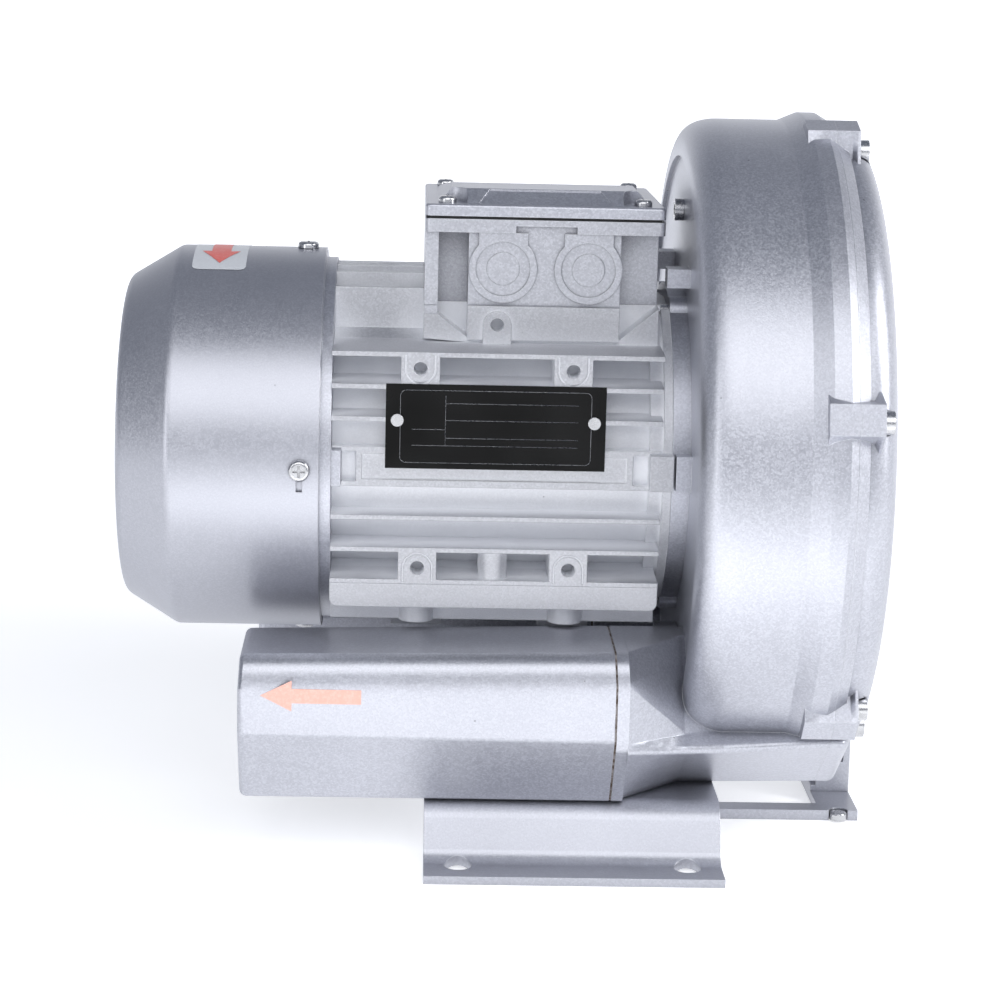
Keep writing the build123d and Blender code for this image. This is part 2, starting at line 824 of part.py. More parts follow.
def impeller_blade():
    """One vane, folded like a chevron about the impeller's middle plane, built at the top."""
    lean = 5.0
    half = 1.1
    x0 = impeller_x
    xm = impeller_x + impeller_width / 2
    x1 = impeller_x + impeller_width
    outline = Polyline(
        (x0, -half), (xm, lean - half), (x1, -half), (x1, half), (xm, lean + half), (x0, half), close=True
    )
    root = channel_mean_radius - channel_radius - 2
    face = Pos(0, 0, axis_height + root) * make_face(outline)
    return extrude(face, impeller_radius - root)


def impeller():
    """Cast impeller: hub, dished web and a ring of folded vanes with pockets on both sides."""
    middle = impeller_x + impeller_width / 2
    inner = channel_mean_radius - channel_radius
    hub = 19.0
    profile = Polyline(
        (impeller_x + 2, bearing_bore_diameter / 2 - 0.7),
        (impeller_x + 2, hub),
        (middle - 3, hub + 4),
        (middle - 2.5, inner - 8),
        (impeller_x, inner - 6),
        (impeller_x, inner),
        (middle - 3.0, inner + 5),
        (middle - 1.0, inner + 20),
        (middle + 1.0, inner + 20),
        (middle + 3.0, inner + 5),
        (impeller_x + impeller_width, inner),
        (impeller_x + impeller_width, inner - 6),
        (middle + 2.5, inner - 8),
        (middle + 3, hub + 4),
        (impeller_x + impeller_width - 2, hub),
        (impeller_x + impeller_width - 2, bearing_bore_diameter / 2 - 0.7),
        close=True,
    )
    body = turned(profile)
    blades = about_shaft(impeller_blade(), full_circle(impeller_blade_count))
    body = body.fuse(*blades)
    body -= disc(impeller_x, impeller_x + impeller_width, impeller_seat_diameter / 2 + seat_gap)
    key = key_space(impeller_x, impeller_x + impeller_width, impeller_seat_diameter, seat_gap)
    return body - key


def key_space(x0, x1, shaft_diameter, gap):
    """Room for a square key that stands half out of the shaft."""
    half = key_width / 2 + gap
    middle = shaft_diameter / 2
    reach = key_height / 2 + gap
    return slab(x0, x1, -half, half, middle - reach, middle + reach)


def impeller_key():
    """Square key between shaft and impeller."""
    return key_space(impeller_x + 4, impeller_x + impeller_width - 5, impeller_seat_diameter, 0)


def impeller_washer():
    """Thick washer on the shaft's end."""
    x = impeller_x + impeller_width - 2
    return tube(x, x + 2.5, 14.0, leg_screw_diameter / 2 + slip_gap)


def impeller_bolt():
    """Screw that clamps the impeller on the shaft."""
    x = impeller_x + impeller_width - 2 + 2.5
    return socket_screw(x, 0, 0, leg_screw_diameter, 10.0, 5.5, 16.0)


# Shaft, bearings and seal

def rotor_shaft():
    """Stepped shaft from the fan to the impeller."""
    impeller_end = impeller_x + impeller_width - 2
    body = disc(fan_front_x - 3, fan_bearing_x - 1, fan_journal_diameter / 2)
    groove_x = fan_front_x - fan_ring_thickness - seat_gap
    body -= tube(groove_x, fan_front_x, fan_journal_diameter, fan_journal_diameter / 2 - 1 - seat_gap)
    body += disc(fan_bearing_x - 1, fan_bearing_end, bearing_bore_diameter / 2)
    body += disc(fan_bearing_end, drive_bearing_x, shaft_core_diameter / 2)
    body += disc(drive_bearing_x, impeller_x + 2, bearing_bore_diameter / 2)
    body += disc(impeller_x + 2, impeller_end, impeller_seat_diameter / 2)
    body -= key_space(impeller_x + 4, impeller_x + impeller_width - 5, impeller_seat_diameter, seat_gap)
    body -= key_space(fan_back_x - 16, fan_back_x - 4, fan_journal_diameter, seat_gap)
    return body - disc(impeller_end - 18, impeller_end + 1, leg_screw_diameter / 2 + seat_gap)


def bearing_outer(x):
    """Outer ring of a sealed ball bearing with its two shields."""
    outer = bearing_outer_diameter / 2
    inner = bearing_bore_diameter / 2
    split = inner + (outer - inner) * 0.34
    ring = tube(x, x + bearing_width, outer, outer - (outer - inner) * 0.3)
    shields = tube(x + 0.6, x + 1.8, outer - 2, split + bearing_race_gap)
    shields += tube(x + bearing_width - 1.8, x + bearing_width - 0.6, outer - 2, split + bearing_race_gap)
    return ring + shields


def bearing_inner(x):
    """Inner ring of a sealed ball bearing."""
    outer = bearing_outer_diameter / 2
    inner = bearing_bore_diameter / 2
    return tube(x, x + bearing_width, inner + (outer - inner) * 0.34, inner + seat_gap)


def shaft_seal():
    """Lip seal between the bearing and the air channel."""
    inner = bearing_bore_diameter / 2 + running_gap
    body = tube(seal_x, channel_x, seal_outer_diameter / 2, inner + 2.5)
    return body + tube(seal_x, seal_x + 2, seal_outer_diameter / 2, inner)


def wave_washer():
    """Spring washer that loads the fan end bearing, pressed flat."""
    outer = bearing_outer_diameter / 2
    return tube(fan_bearing_x - 0.8, fan_bearing_x, outer - 1, outer - 5)


# Stator and rotor

def slot_ring(x0, x1, gap, radial_gap):
    """Radial slot bars round the stator, as a list."""
    half = stator_slot_width / 2 - gap
    low = stator_bore_radius + 2.5 + radial_gap
    bar = slab(x0, x1, -half, half, low, low + stator_slot_depth - 2 * radial_gap)
    return about_shaft(bar, full_circle(stator_slot_count))


def stator_core():
    """Laminated stator with its slots."""
    body = tube(stack_x0, stack_x1, barrel_inner_radius - seat_gap, stator_bore_radius)
    return body.cut(*slot_ring(stack_x0 - 1, stack_x1 + 1, 0, 0))


def stator_windings():
    """Copper winding: bars in the slots and the two end turns."""
    low = stator_bore_radius + 3.0
    high = stator_bore_radius + 2.5 + stator_slot_depth
    ends = [
        tube(stack_x0 - winding_overhang, stack_x0 - 0.5, high, low),
        tube(stack_x1 + 0.5, stack_x1 + winding_overhang, high, low),
    ]
    ends = [chamfer(e.edges().filter_by(GeomType.CIRCLE), 1.5) for e in ends]
    bars = slot_ring(stack_x0 - 2, stack_x1 + 2, 0.2, 0.2)
    return ends[0].fuse(ends[1], *bars)


def rotor_core():
    """Laminated rotor stack on the shaft."""
    return tube(stack_x0, stack_x1, rotor_radius, shaft_core_diameter / 2 + seat_gap)


def rotor_cage():
    """Cast end rings of the rotor's cage."""
    rings = tube(stack_x0 - cage_ring_length, stack_x0, rotor_radius - 0.6, rotor_radius - 10)
    rings += tube(stack_x1, stack_x1 + cage_ring_length, rotor_radius - 0.6, rotor_radius - 10)
    return rings


# Motor frame

def side_fin(height):
    """Tapered cooling fin on the near side at a height from the shaft line, in (y, z)."""
    root = sqrt(barrel_inner_radius**2 - min(abs(height), barrel_inner_radius - 10)**2)
    half = fin_root_thickness / 2
    tip = fin_tip_thickness / 2
    return make_face(Polyline(
        (-root, height - half),
        (-fin_reach, height - tip),
        (-fin_reach, height + tip),
        (-root, height + half),
        close=True,
    ))


def top_fin(place, reach):
    """Tapered cooling fin on top at a distance from the middle, in (y, z)."""
    half = fin_root_thickness / 2
    tip = fin_tip_thickness / 2
    root = sqrt((barrel_inner_radius + 1)**2 - (place + half)**2)
    return make_face(Polyline(
        (place - half, root), (place - tip, reach), (place + tip, reach), (place + half, root), close=True
    ))


def sole_rail():
    """Solid rail under the near lower corner of the frame, in (y, z)."""
    return make_face(Polyline(
        (-sole_half_width, -skirt_top), (-sole_half_width, -sole_bottom), (-sole_inner, -sole_bottom),
        (-sole_inner, -skirt_top + 5), close=True
    ))


def frame_section():
    """Cross-section of the finned barrel about the shaft line."""
    half = Circle(barrel_outer_radius) + sole_rail()
    for height in side_fin_heights:
        half += side_fin(height)
        half += side_fin(-height)
    half += Pos(-(side_boss_reach / 2), 0) * Rectangle(side_boss_reach, 2 * side_boss_half_height)
    for place, reach in zip(top_fin_offsets, top_fin_tips):
        half += top_fin(-place, reach)
        half += mirror(top_fin(-place, reach - 4), about=Plane.XZ)
    return half + mirror(half, about=Plane.YZ)


def side_skirt():
    """Flat skirt with round lower corners under the lowest near fin, with its two upright bosses."""
    face = make_face(Polyline(
        (frame_back_x, -skirt_top), (frame_back_x, -skirt_bottom), (fin_front_x, -skirt_bottom),
        (fin_front_x, -skirt_top), close=True
    ))
    face = fillet(face.vertices().sort_by(Axis.Y)[:2], skirt_corner_radius)
    plane = Plane(origin=(0, -sole_half_width + 3, axis_height), x_dir=(1, 0, 0), z_dir=(0, -1, 0))
    body = extrude(plane * face, skirt_face - sole_half_width + 3)
    height = sole_bottom - skirt_bottom + 2
    for dx in pad_offsets:
        boss = Cylinder(sole_boss_radius, height)
        body += Pos(pad_centre_x + dx, -sole_half_width, axis_height - sole_bottom + height / 2) * boss
    return body


def side_recesses():
    """What is cut from the near side rail: its long panel and the two pockets at its ends."""
    half = side_panel_half_height
    outside = -side_boss_reach - 1
    body = slab(side_panel_x0, side_panel_x1, outside, -side_boss_reach + side_panel_depth, -half, half)
    half = side_pocket_half_height
    back = side_panel_x0 - side_pocket_gap
    front = side_panel_x1 + side_pocket_gap
    for x0, x1 in ((back - side_pocket_length, back), (front, front + side_pocket_length)):
        body += slab(x0, x1, outside, -side_pocket_floor, -half, half)
    return body


def boss_pads():
    """Threaded pads between the fins on the near side, above and below the shaft."""
    body = None
    for dx in pad_offsets:
        for side in (-1, 1):
            low = side * pad_height - fin_pitch / 2
            x0 = pad_centre_x + dx - pad_width / 2
            pad = slab(x0, x0 + pad_width, -fin_reach, -barrel_inner_radius + 12, low, low + fin_pitch)
            body = pad if body is None else body + pad
    return body


def pad_grooves():
    """Arched grooves round the holes of the near pads, as a list."""
    grooves = []
    outer = pad_groove_radius
    inner = outer - pad_groove_width
    leg = Rectangle(2 * outer, fin_pitch) - Rectangle(2 * inner, fin_pitch)
    between_fins = Rectangle(fin_pitch, fin_pitch - fin_tip_thickness)
    for dx in pad_offsets:
        for side in (-1, 1):
            place = Plane(origin=(pad_centre_x + dx, -fin_reach - 1, axis_height + side * pad_height),
                          x_dir=(1, 0, 0), z_dir=(0, 1, 0))
            ring = Circle(outer) - Circle(inner)
            arch = ring - Pos(0, -side * outer) * Rectangle(3 * outer, 2 * outer)
            arch += (Pos(0, -side * fin_pitch / 2) * leg) & between_fins
            grooves.append(extrude(place * arch, 1 + pad_groove_depth))
    return grooves


def pad_holes():
    """Blind tapped holes of the near pads, as a list."""
    holes = []
    for dx in pad_offsets:
        for side in (-1, 1):
            mouth = Plane(origin=(pad_centre_x + dx, -fin_reach - 1, axis_height + side * pad_height),
                          z_dir=(0, 1, 0))
            holes.append(extrude(mouth * Circle(pad_hole_diameter / 2), pad_hole_depth + 1))
    return holes


def pedestal():
    """Seat of the terminal box, with sloping ends that run down onto the barrel."""
    x0 = box_centre_x - box_length / 2
    x1 = box_centre_x + box_length / 2
    f0 = box_centre_x - box_front_length / 2
    f1 = box_centre_x + box_front_length / 2
    plane = Plane(origin=(0, box_body_half_width, axis_height), x_dir=(1, 0, 0), z_dir=(0, -1, 0))
    outline = Polyline(
        (x0, box_seat_height), (x0, pedestal_bottom + 8), (f0, pedestal_bottom), (f1, pedestal_bottom),
        (x1, box_seat_height - 2), (x1, box_seat_height), close=True
    )
    body = extrude(plane * make_face(outline), 2 * box_body_half_width)
    body += slab(f0, f1, -pedestal_half_width, pedestal_half_width, pedestal_bottom, box_seat_height)
    wings = Polyline(
        (x0, pedestal_bottom),
        (x0, pedestal_post_foot),
        (x0 + box_post_width, pedestal_post_foot),
        (f0, pedestal_bottom + 0.8),
        (f1, pedestal_bottom + 0.4),
        (x1 - 1.4, box_seat_height),
        (x1 - 1.4, pedestal_bottom - 6),
        close=True,
    )
    wing_plane = Plane(origin=(0, pedestal_half_width - 2, axis_height), x_dir=(1, 0, 0), z_dir=(0, -1, 0))
    body += extrude(wing_plane * make_face(wings), 2 * pedestal_half_width - 4)
    mouth = Plane(origin=(f0 + 11, 0, axis_height + 50.6), x_dir=(1, 0, 0), z_dir=(0, -1, 0))
    boss = extrude(mouth * (Circle(5.2) + Pos(0, -3.5) * Rectangle(10.4, 7)), pedestal_half_width + 1.6)
    body += boss
    body -= extrude(mouth.offset(pedestal_half_width - 6) * Circle(2.4), 10)
    return body


def motor_frame():
    """Finned motor frame: barrel, fins, skirts, ears, threaded pads and the terminal box seat."""
    plane = Plane(origin=(frame_back_x, 0, axis_height), x_dir=(0, 1, 0), z_dir=(1, 0, 0))
    body = extrude(plane * frame_section(), fin_front_x - frame_back_x)
    body += disc(fin_front_x - 1, frame_front_x, barrel_outer_radius)
    collar_end = frame_front_x - end_band_length
    body += disc(collar_end - collar_length, collar_end, collar_radius)
    body += disc(collar_end, frame_front_x, end_band_radius)
    x0 = box_centre_x - box_length / 2
    x1 = box_centre_x + box_length / 2
    half = box_body_half_width + 8
    body -= slab(x0, x1 + fin_pitch, -half, half, barrel_outer_radius - 1, fin_reach + 9)
    body += disc(x0 - 1, frame_front_x, barrel_outer_radius)
    body += pedestal()
    body += both_sides(boss_pads() + side_skirt() + pad_web())
    for x in pad_offsets:
        body += slab(pad_centre_x + x - foot_pad_length / 2, pad_centre_x + x + foot_pad_length / 2,
                     -foot_pad_half_width, foot_pad_half_width, -foot_pad_depth, -barrel_inner_radius - 1)
    body -= both_sides(side_recesses())
    ear = slab(frame_front_x - ear_length, frame_front_x, -ear_half_height, ear_half_height,
               barrel_inner_radius + 1, ear_reach)
    for piece in about_shaft(ear, full_circle(2, 90)):
        body += piece
    for piece in shield_ears(running_gap):
        body -= piece
    body -= disc(frame_back_x - 1, frame_front_x + 1, barrel_inner_radius)
    for hole in pad_holes() + pad_grooves():
        body -= both_sides(hole)
    for hole in tie_rod_bars(frame_back_x - 1, frame_front_x + 1, tie_rod_diameter / 2 + slip_gap):
        body -= hole
    return body


def pad_web():
    """Round upright web between the two lowest near fins, midway between the pads."""
    height = fin_pitch
    place = Pos(pad_centre_x, -fin_reach + pad_web_radius + 1, axis_height - pad_height)
    web = place * Cylinder(pad_web_radius, height)
    return web + slab(pad_centre_x - pad_web_radius, pad_centre_x + pad_web_radius,
                      -fin_reach + pad_web_radius, -barrel_inner_radius + 12,
                      -pad_height - height / 2, -pad_height + height / 2)


def tie_rods():
    """Long screws that clamp the end shield and the frame to the casing."""
    bars = tie_rod_bars(shield_face_x, frame_front_x + tie_rod_thread_depth - 1, tie_rod_diameter / 2)
    heads = tie_rod_bars(shield_face_x - tie_rod_head_length, shield_face_x, tie_rod_head_diameter / 2)
    return group([bar + head for bar, head in zip(bars, heads)])


# Fan end

def end_shield():
    """Fan end shield: plate, skirt under the cowl, bearing boss, ribs and the four ears."""
    skirt_x = shield_face_x - shield_skirt_length
    body = disc(shield_face_x, frame_back_x, shield_rim_radius)
    body += tube(skirt_x, shield_face_x + 1, shield_skirt_radius, shield_skirt_radius - 4)
    body += disc(fan_bearing_x - 4, frame_back_x, shield_boss_radius)
    rib = slab(shield_face_x - 6, shield_face_x + 1, -1.5, 1.5,
               shield_boss_radius - 2, shield_skirt_radius - 3)
    body = body.fuse(*about_shaft(rib, full_circle(shield_rib_count)))
    body += tube(frame_back_x - 1, frame_back_x + 4, barrel_inner_radius - slip_gap, barrel_inner_radius - 4)
    for piece in shield_ears(0):
        body += piece
    body -= disc(fan_bearing_x - 1, frame_back_x + 5, bearing_outer_diameter / 2 + seat_gap)
    body -= disc(fan_bearing_x - 5, fan_bearing_x, bearing_bore_diameter / 2 + 2)
    for hole in tie_rod_bars(skirt_x - 1, frame_back_x + 1, tie_rod_diameter / 2 + slip_gap):
        body -= hole
    for hole in tie_rod_bars(skirt_x - 1, shield_face_x, tie_rod_head_diameter / 2 + slip_gap):
        body -= hole
    for hole in cowl_screw_holes(cowl_screw_diameter / 2 + running_gap, 10):
        body -= hole
    return body


def shield_ears(gap):
    """Ears at the level of the shaft that hook over the ends of the side rails, as a list."""
    half = ear_half_height + gap
    low = barrel_outer_radius + 0.2 - gap
    high = ear_reach + gap
    ear = slab(shield_face_x, frame_back_x + ear_back_length + gap, -half, half, low, high)
    plane = Plane(origin=(frame_back_x - 2.9, 0, axis_height + low), x_dir=(1, 0, 0), z_dir=(0, 0, 1))
    lobe = plane * Pos(0, ear_half_height - 0.8) * Circle(ear_lobe_radius + gap)
    ear += extrude(lobe, high - low)
    return about_shaft(ear, full_circle(2, 90))


def cowl_screw_holes(radius, depth):
    """Radial screw holes through the cowl into the end shield, as a list."""
    x = cowl_open_x - 7
    plane = Plane(origin=(x, 0, axis_height + cowl_radius - depth), z_dir=(0, 0, 1))
    return about_shaft(extrude(plane * Circle(radius), depth + 2), full_circle(4))


def cowl_outline(inset):
    """Half section of the cowl in (x, radius), moved inwards by inset."""
    bevel_x = cowl_end_x + cowl_bevel_length
    return Polyline(
        (cowl_open_x + inset, 0), (cowl_open_x + inset, cowl_radius - inset), (bevel_x, cowl_radius - inset),
        (cowl_end_x + inset, cowl_end_radius - inset / 2), (cowl_end_x + inset, 0), close=True
    )


def slot_cut(inner, outer, x, depth):
    """Round-ended slot along the radius at the top of the cowl's end."""
    plane = Plane(origin=(x - 1, 0, axis_height + (inner + outer) / 2), x_dir=(0, 0, 1), z_dir=(1, 0, 0))
    return extrude(plane * SlotOverall(outer - inner, cowl_slot_width), depth + 2)


def fan_cowl():
    """Pressed cowl over the fan, with air slots in its end."""
    body = turned(cowl_outline(0))
    shoulder = body.edges().filter_by(GeomType.CIRCLE).sort_by(Axis.X)
    body = fillet([e for e in shoulder if e.center().X < cowl_open_x - 10], 5.0)
    hollow = turned(cowl_outline(cowl_sheet))
    hollow_edges = [e for e in hollow.edges().filter_by(GeomType.CIRCLE) if e.center().X < cowl_open_x - 10]
    hollow = fillet(hollow_edges, 4.0)
    body -= hollow
    body -= disc(cowl_open_x - 1, cowl_open_x + 5, cowl_radius - cowl_sheet)
    inner = slot_cut(cowl_inner_slot_start, cowl_inner_slot_end, cowl_end_x, cowl_sheet)
    outer = slot_cut(cowl_outer_slot_start, cowl_outer_slot_end, cowl_end_x, cowl_sheet)
    slots = about_shaft(inner, full_circle(cowl_inner_slots))
    slots += about_shaft(outer, full_circle(cowl_outer_slots))
    half = cowl_key_slot_width / 2
    key_slot = slab(cowl_open_x - 7 - half, cowl_open_x - 7 + half, -cowl_radius - 1, -cowl_radius + 5,
                    -cowl_key_slot_length, 0)
    body = body.cut(*slots, key_slot, mirror(key_slot, about=Plane.XZ))
    for hole in cowl_screw_holes(cowl_screw_diameter / 2 + slip_gap, 6):
        body -= hole
    return body


def cowl_screws():
    """Pan head screws that hold the cowl."""
    x = cowl_open_x - 7
    seat = Plane(origin=(x, 0, axis_height + cowl_radius + 0.1), z_dir=(0, 0, 1))
    head = fillet(extrude(seat * Circle(4.0), 2.4).edges().sort_by(Axis.Z)[-1:], 1.4)
    shank = extrude(seat.offset(-8) * Circle(cowl_screw_diameter / 2), 8.5)
    cross = Plane(origin=(x, 0, axis_height + cowl_radius + 1.6), z_dir=(0, 0, 1))
    cut = extrude(cross * (Rectangle(4.4, 0.8) + Rectangle(0.8, 4.4)), 3)
    return group(about_shaft(head + shank - cut, full_circle(4)))


def cooling_fan():
    """Moulded fan: hub, back disc and straight radial blades."""
    body = disc(fan_back_x - fan_plate, fan_back_x, fan_disc_radius - 6)
    body += disc(fan_front_x, fan_back_x, fan_hub_radius)
    blade = slab(fan_front_x + 2, fan_back_x - 0.5, -1.1, 1.1, fan_hub_radius - 2, fan_disc_radius)
    body = body.fuse(*about_shaft(blade, full_circle(fan_blade_count)))
    body -= disc(fan_front_x - 1, fan_back_x + 1, fan_journal_diameter / 2 + seat_gap)
    return body - key_space(fan_back_x - 16, fan_back_x + 1, fan_journal_diameter, seat_gap)


def fan_key():
    """Key between shaft and fan."""
    return key_space(fan_back_x - 16, fan_back_x - 4, fan_journal_diameter, 0)


def fan_ring():
    """Retaining ring in front of the fan."""
    journal = fan_journal_diameter / 2
    return tube(fan_front_x - fan_ring_thickness, fan_front_x, journal + 3, journal - 1)


# Terminal box

def terminal_box():
    """Cast terminal box with a rim, a front block with blanked cable entries and side recesses."""
    x0 = box_centre_x - box_length / 2
    x1 = box_centre_x + box_length / 2
    f0 = box_centre_x - box_front_length / 2
    f1 = box_centre_x + box_front_length / 2
    low = box_seat_height
    half = box_width / 2
    body = slab(x0 + 1, x1 - 1.4, -box_body_half_width, box_body_half_width, low, box_rim_bottom + 1)
    body += slab(f0, f1, -box_front_half_width, box_front_half_width, low, box_rim_bottom + 1)
    rim = slab(x0, x1, -half, half, box_rim_bottom, box_rim_top)
    body += fillet(rim.edges().filter_by(Axis.Z), 2.0)
    body += slab(x0, x0 + box_post_width, -box_front_half_width, box_front_half_width,
                 low, box_rim_bottom + 1)
    body += both_sides(slab(x0, x0 + box_post_width, -pedestal_half_width + 2, -box_body_half_width,
                            pedestal_post_foot, low + 1))
    wide = box_body_half_width - box_wall
    deep = box_front_half_width - box_wall
    body -= slab(x0 + 1 + box_wall, x1 - 1.4 - box_wall, -wide, wide, low + box_wall, box_rim_top + 1)
    body -= slab(f0 + box_wall, f1 - box_wall, -deep, deep, low + box_wall, box_rim_top + 1)
    notch_x = box_centre_x + 0.4 - rim_notch_width / 2
    notch = slab(notch_x, notch_x + rim_notch_width, -half - 1, -box_front_half_width,
                 box_rim_bottom - 1, box_rim_bottom + rim_notch_height)
    body -= both_sides(notch)
    body += both_sides(knockouts())
    rim_height = box_rim_top - box_rim_bottom
    for x, y in lid_screw_places():
        body += Pos(x, y, axis_height + box_rim_bottom + rim_height / 2) * Cylinder(5.2, rim_height)
        body -= Pos(x, y, axis_height + box_rim_top) * Cylinder(2.0 + running_gap, 2 * rim_height + 1)
    return body


def knockouts():
    """Two blanked cable entries with necks that run up to the rim."""
    centre = box_centre_x + 0.4
    plane = Plane(origin=(centre, -box_front_half_width, axis_height), x_dir=(1, 0, 0), z_dir=(0, -1, 0))
    outline = None
    rings = None
    discs = None
    for side in (-1, 1):
        place = Pos(side * knockout_spacing / 2, knockout_height)
        neck_bottom = knockout_height + knockout_radius * 0.5
        neck_height = box_rim_bottom - neck_bottom
        neck = Pos(side * knockout_spacing / 2, neck_bottom + neck_height / 2)
        shape = place * Circle(knockout_radius) + neck * Rectangle(knockout_neck, neck_height)
        ring = place * Circle(knockout_ring_radius)
        disc_face = place * Circle(knockout_disc_radius)
        outline = shape if outline is None else outline + shape
        rings = ring if rings is None else rings + ring
        discs = disc_face if discs is None else discs + disc_face
    body = extrude(plane.offset(-0.4) * outline, knockout_relief + 0.4)
    body -= extrude(plane.offset(knockout_relief * 0.35) * rings, knockout_relief)
    return body + extrude(plane.offset(-0.4) * discs, knockout_relief)


def lid_screw_places():
    """Plan positions of the lid screws."""
    dx = box_length / 2 - lid_screw_inset
    dy = box_width / 2 - lid_screw_inset
    return [(box_centre_x + sx * dx, sy * dy) for sx in (-1, 1) for sy in (-1, 1)]


def lid_gasket():
    """Flat gasket under the lid."""
    half_x = box_length / 2 - 1.5
    half_y = box_width / 2 - 1.5
    z0 = box_rim_top
    z1 = box_rim_top + gasket_thickness
    body = slab(box_centre_x - half_x, box_centre_x + half_x, -half_y, half_y, z0, z1)
    body -= slab(box_centre_x - half_x + 12, box_centre_x + half_x - 12, -half_y + 4, half_y - 4,
                 z0 - 1, z1 + 1)
    for x, y in lid_screw_places():
        body -= Pos(x, y, axis_height + z0) * Cylinder(2.0 + slip_gap, 4 * gasket_thickness)
    return body


def terminal_lid():
    """Lid with a raised crown whose sides slope and whose corners are cut for the screws."""
    z0 = box_rim_top + gasket_thickness
    flange = Box(box_length, box_width, lid_flange_top - z0)
    flange = Pos(box_centre_x, 0, axis_height + (z0 + lid_flange_top) / 2) * flange
    flange = fillet(flange.edges().filter_by(Axis.Z), 2.0)
    flange = fillet(flange.edges().group_by(Axis.Z)[-1], 1.0)
    low_x = box_length - 2 * lid_crown_margin
    low_y = box_width - 2 * lid_crown_margin
    low = Pos(box_centre_x, 0, axis_height + lid_flange_top - 0.5) * Rectangle(low_x, low_y)
    high_y = -low_y / 2 + 1.3 * lid_crown_slope + lid_crown_depth / 2
    high = Rectangle(low_x - 2 * lid_crown_slope, lid_crown_depth)
    high = Pos(box_centre_x, high_y, axis_height + lid_crown_top) * high
    body = flange + loft([low, high])
    for x, y in lid_screw_places():
        body -= Pos(x, y, axis_height + lid_flange_top + 5) * Cylinder(lid_pocket_radius, 10)
        body -= Pos(x, y, axis_height + lid_flange_top) * Cylinder(2.0 + slip_gap, 20)
    inner_x = low_x / 2 - 12
    inner_y = low_y / 2 - 11
    inner = slab(box_centre_x - inner_x, box_centre_x + inner_x, -inner_y, inner_y,
                 z0 - 1, lid_flange_top - lid_skin)
    return body - lid_panel(low_x, low_y) - inner


def lid_panel(length, width):
    """Shallow panel sunk into the near slope of the lid's crown."""
    rise = lid_crown_top - lid_flange_top
    run = 1.3 * lid_crown_slope
    middle = (box_centre_x, -width / 2 + run / 2, axis_height + lid_flange_top + rise / 2)
    plane = Plane(origin=middle, x_dir=(1, 0, 0), z_dir=(0, -rise, run))
    low = length / 2 - 2 * lid_pocket_radius
    high = low - 4
    slope = sqrt(run**2 + rise**2) / 2 - 0.5
    face = make_face(Polyline((-low, -slope), (low, -slope), (high, slope), (-high, slope), close=True))
    return extrude(plane.offset(-0.5) * face, 3)


def lid_screws():
    """Pan head screws of the lid."""
    shapes = []
    for x, y in lid_screw_places():
        head = Pos(0, 0, 1.2) * Cylinder(3.3, 2.4)
        head = fillet(head.edges().sort_by(Axis.Z)[-1:], 1.4)
        length = lid_flange_top - box_rim_bottom
        shank = Pos(0, 0, -length / 2 + 0.2) * Cylinder(2.0, length)
        cross = Pos(0, 0, 2.2) * (Box(3.8, 0.7, 1.6) + Box(0.7, 3.8, 1.6))
        shapes.append(Pos(x, y, axis_height + lid_flange_top) * (head + shank - cross))
    return group(shapes)


def terminal_block():
    """Moulded block that carries the terminal studs."""
    length, width, height = terminal_block_size
    z = box_seat_height + box_wall
    body = slab(box_centre_x - length / 2, box_centre_x + length / 2, -width / 2, width / 2, z, z + height)
    for x, y in terminal_places():
        body -= Pos(x, y, axis_height + z + height) * Cylinder(terminal_stud_diameter / 2 + seat_gap, height)
    return body


def terminal_places():
    """Plan positions of the six terminal studs."""
    xs = [box_centre_x + terminal_stud_pitch * i for i in (-1, 0, 1)]
    return [(x, y) for x in xs for y in (-terminal_stud_row_gap / 2, terminal_stud_row_gap / 2)]


def terminal_studs():
    """Brass studs with their nuts."""
    top = box_seat_height + box_wall + terminal_block_size[2]
    shapes = []
    for x, y in terminal_places():
        stud = Pos(x, y, axis_height + top + 3) * Cylinder(terminal_stud_diameter / 2, 14)
        nut = Pos(x, y, axis_height + top) * extrude(RegularPolygon(4.0, 6), 3.2)
        shapes.append(stud + nut)
    return group(shapes)


# Nameplate

def nameplate():
    """Plain plate across the fin tips."""
    x0 = plate_centre_x - plate_length / 2
    body = slab(x0, x0 + plate_length, -fin_reach - plate_thickness, -fin_reach, plate_bottom,
                plate_bottom + plate_height)
    for x in nameplate_rivet_places():
        body -= rivet_bar(x, rivet_diameter / 2 + running_gap, fin_reach - 5, fin_reach + 3)
    return body


def nameplate_rivet_places():
    """Where the two rivets stand along X."""
    half = plate_length / 2 - rivet_inset
    return [plate_centre_x - half, plate_centre_x + half]


def rivet_bar(x, radius, y0, y1):
    """Bar across the near side at the first fin above the shaft."""
    plane = Plane(origin=(x, -y0, axis_height + fin_first_offset), z_dir=(0, -1, 0))
    return extrude(plane * Circle(radius), y1 - y0)


def nameplate_rivets():
    """Two rivets that hold the nameplate on the fin."""
    face = fin_reach + plate_thickness
    shapes = []
    for x in nameplate_rivet_places():
        cap = rivet_bar(x, rivet_cap_diameter / 2, face, face + 1.1)
        shapes.append(cap + rivet_bar(x, rivet_diameter / 2 - 0.5, fin_reach, face + 0.5))
    return group(shapes)


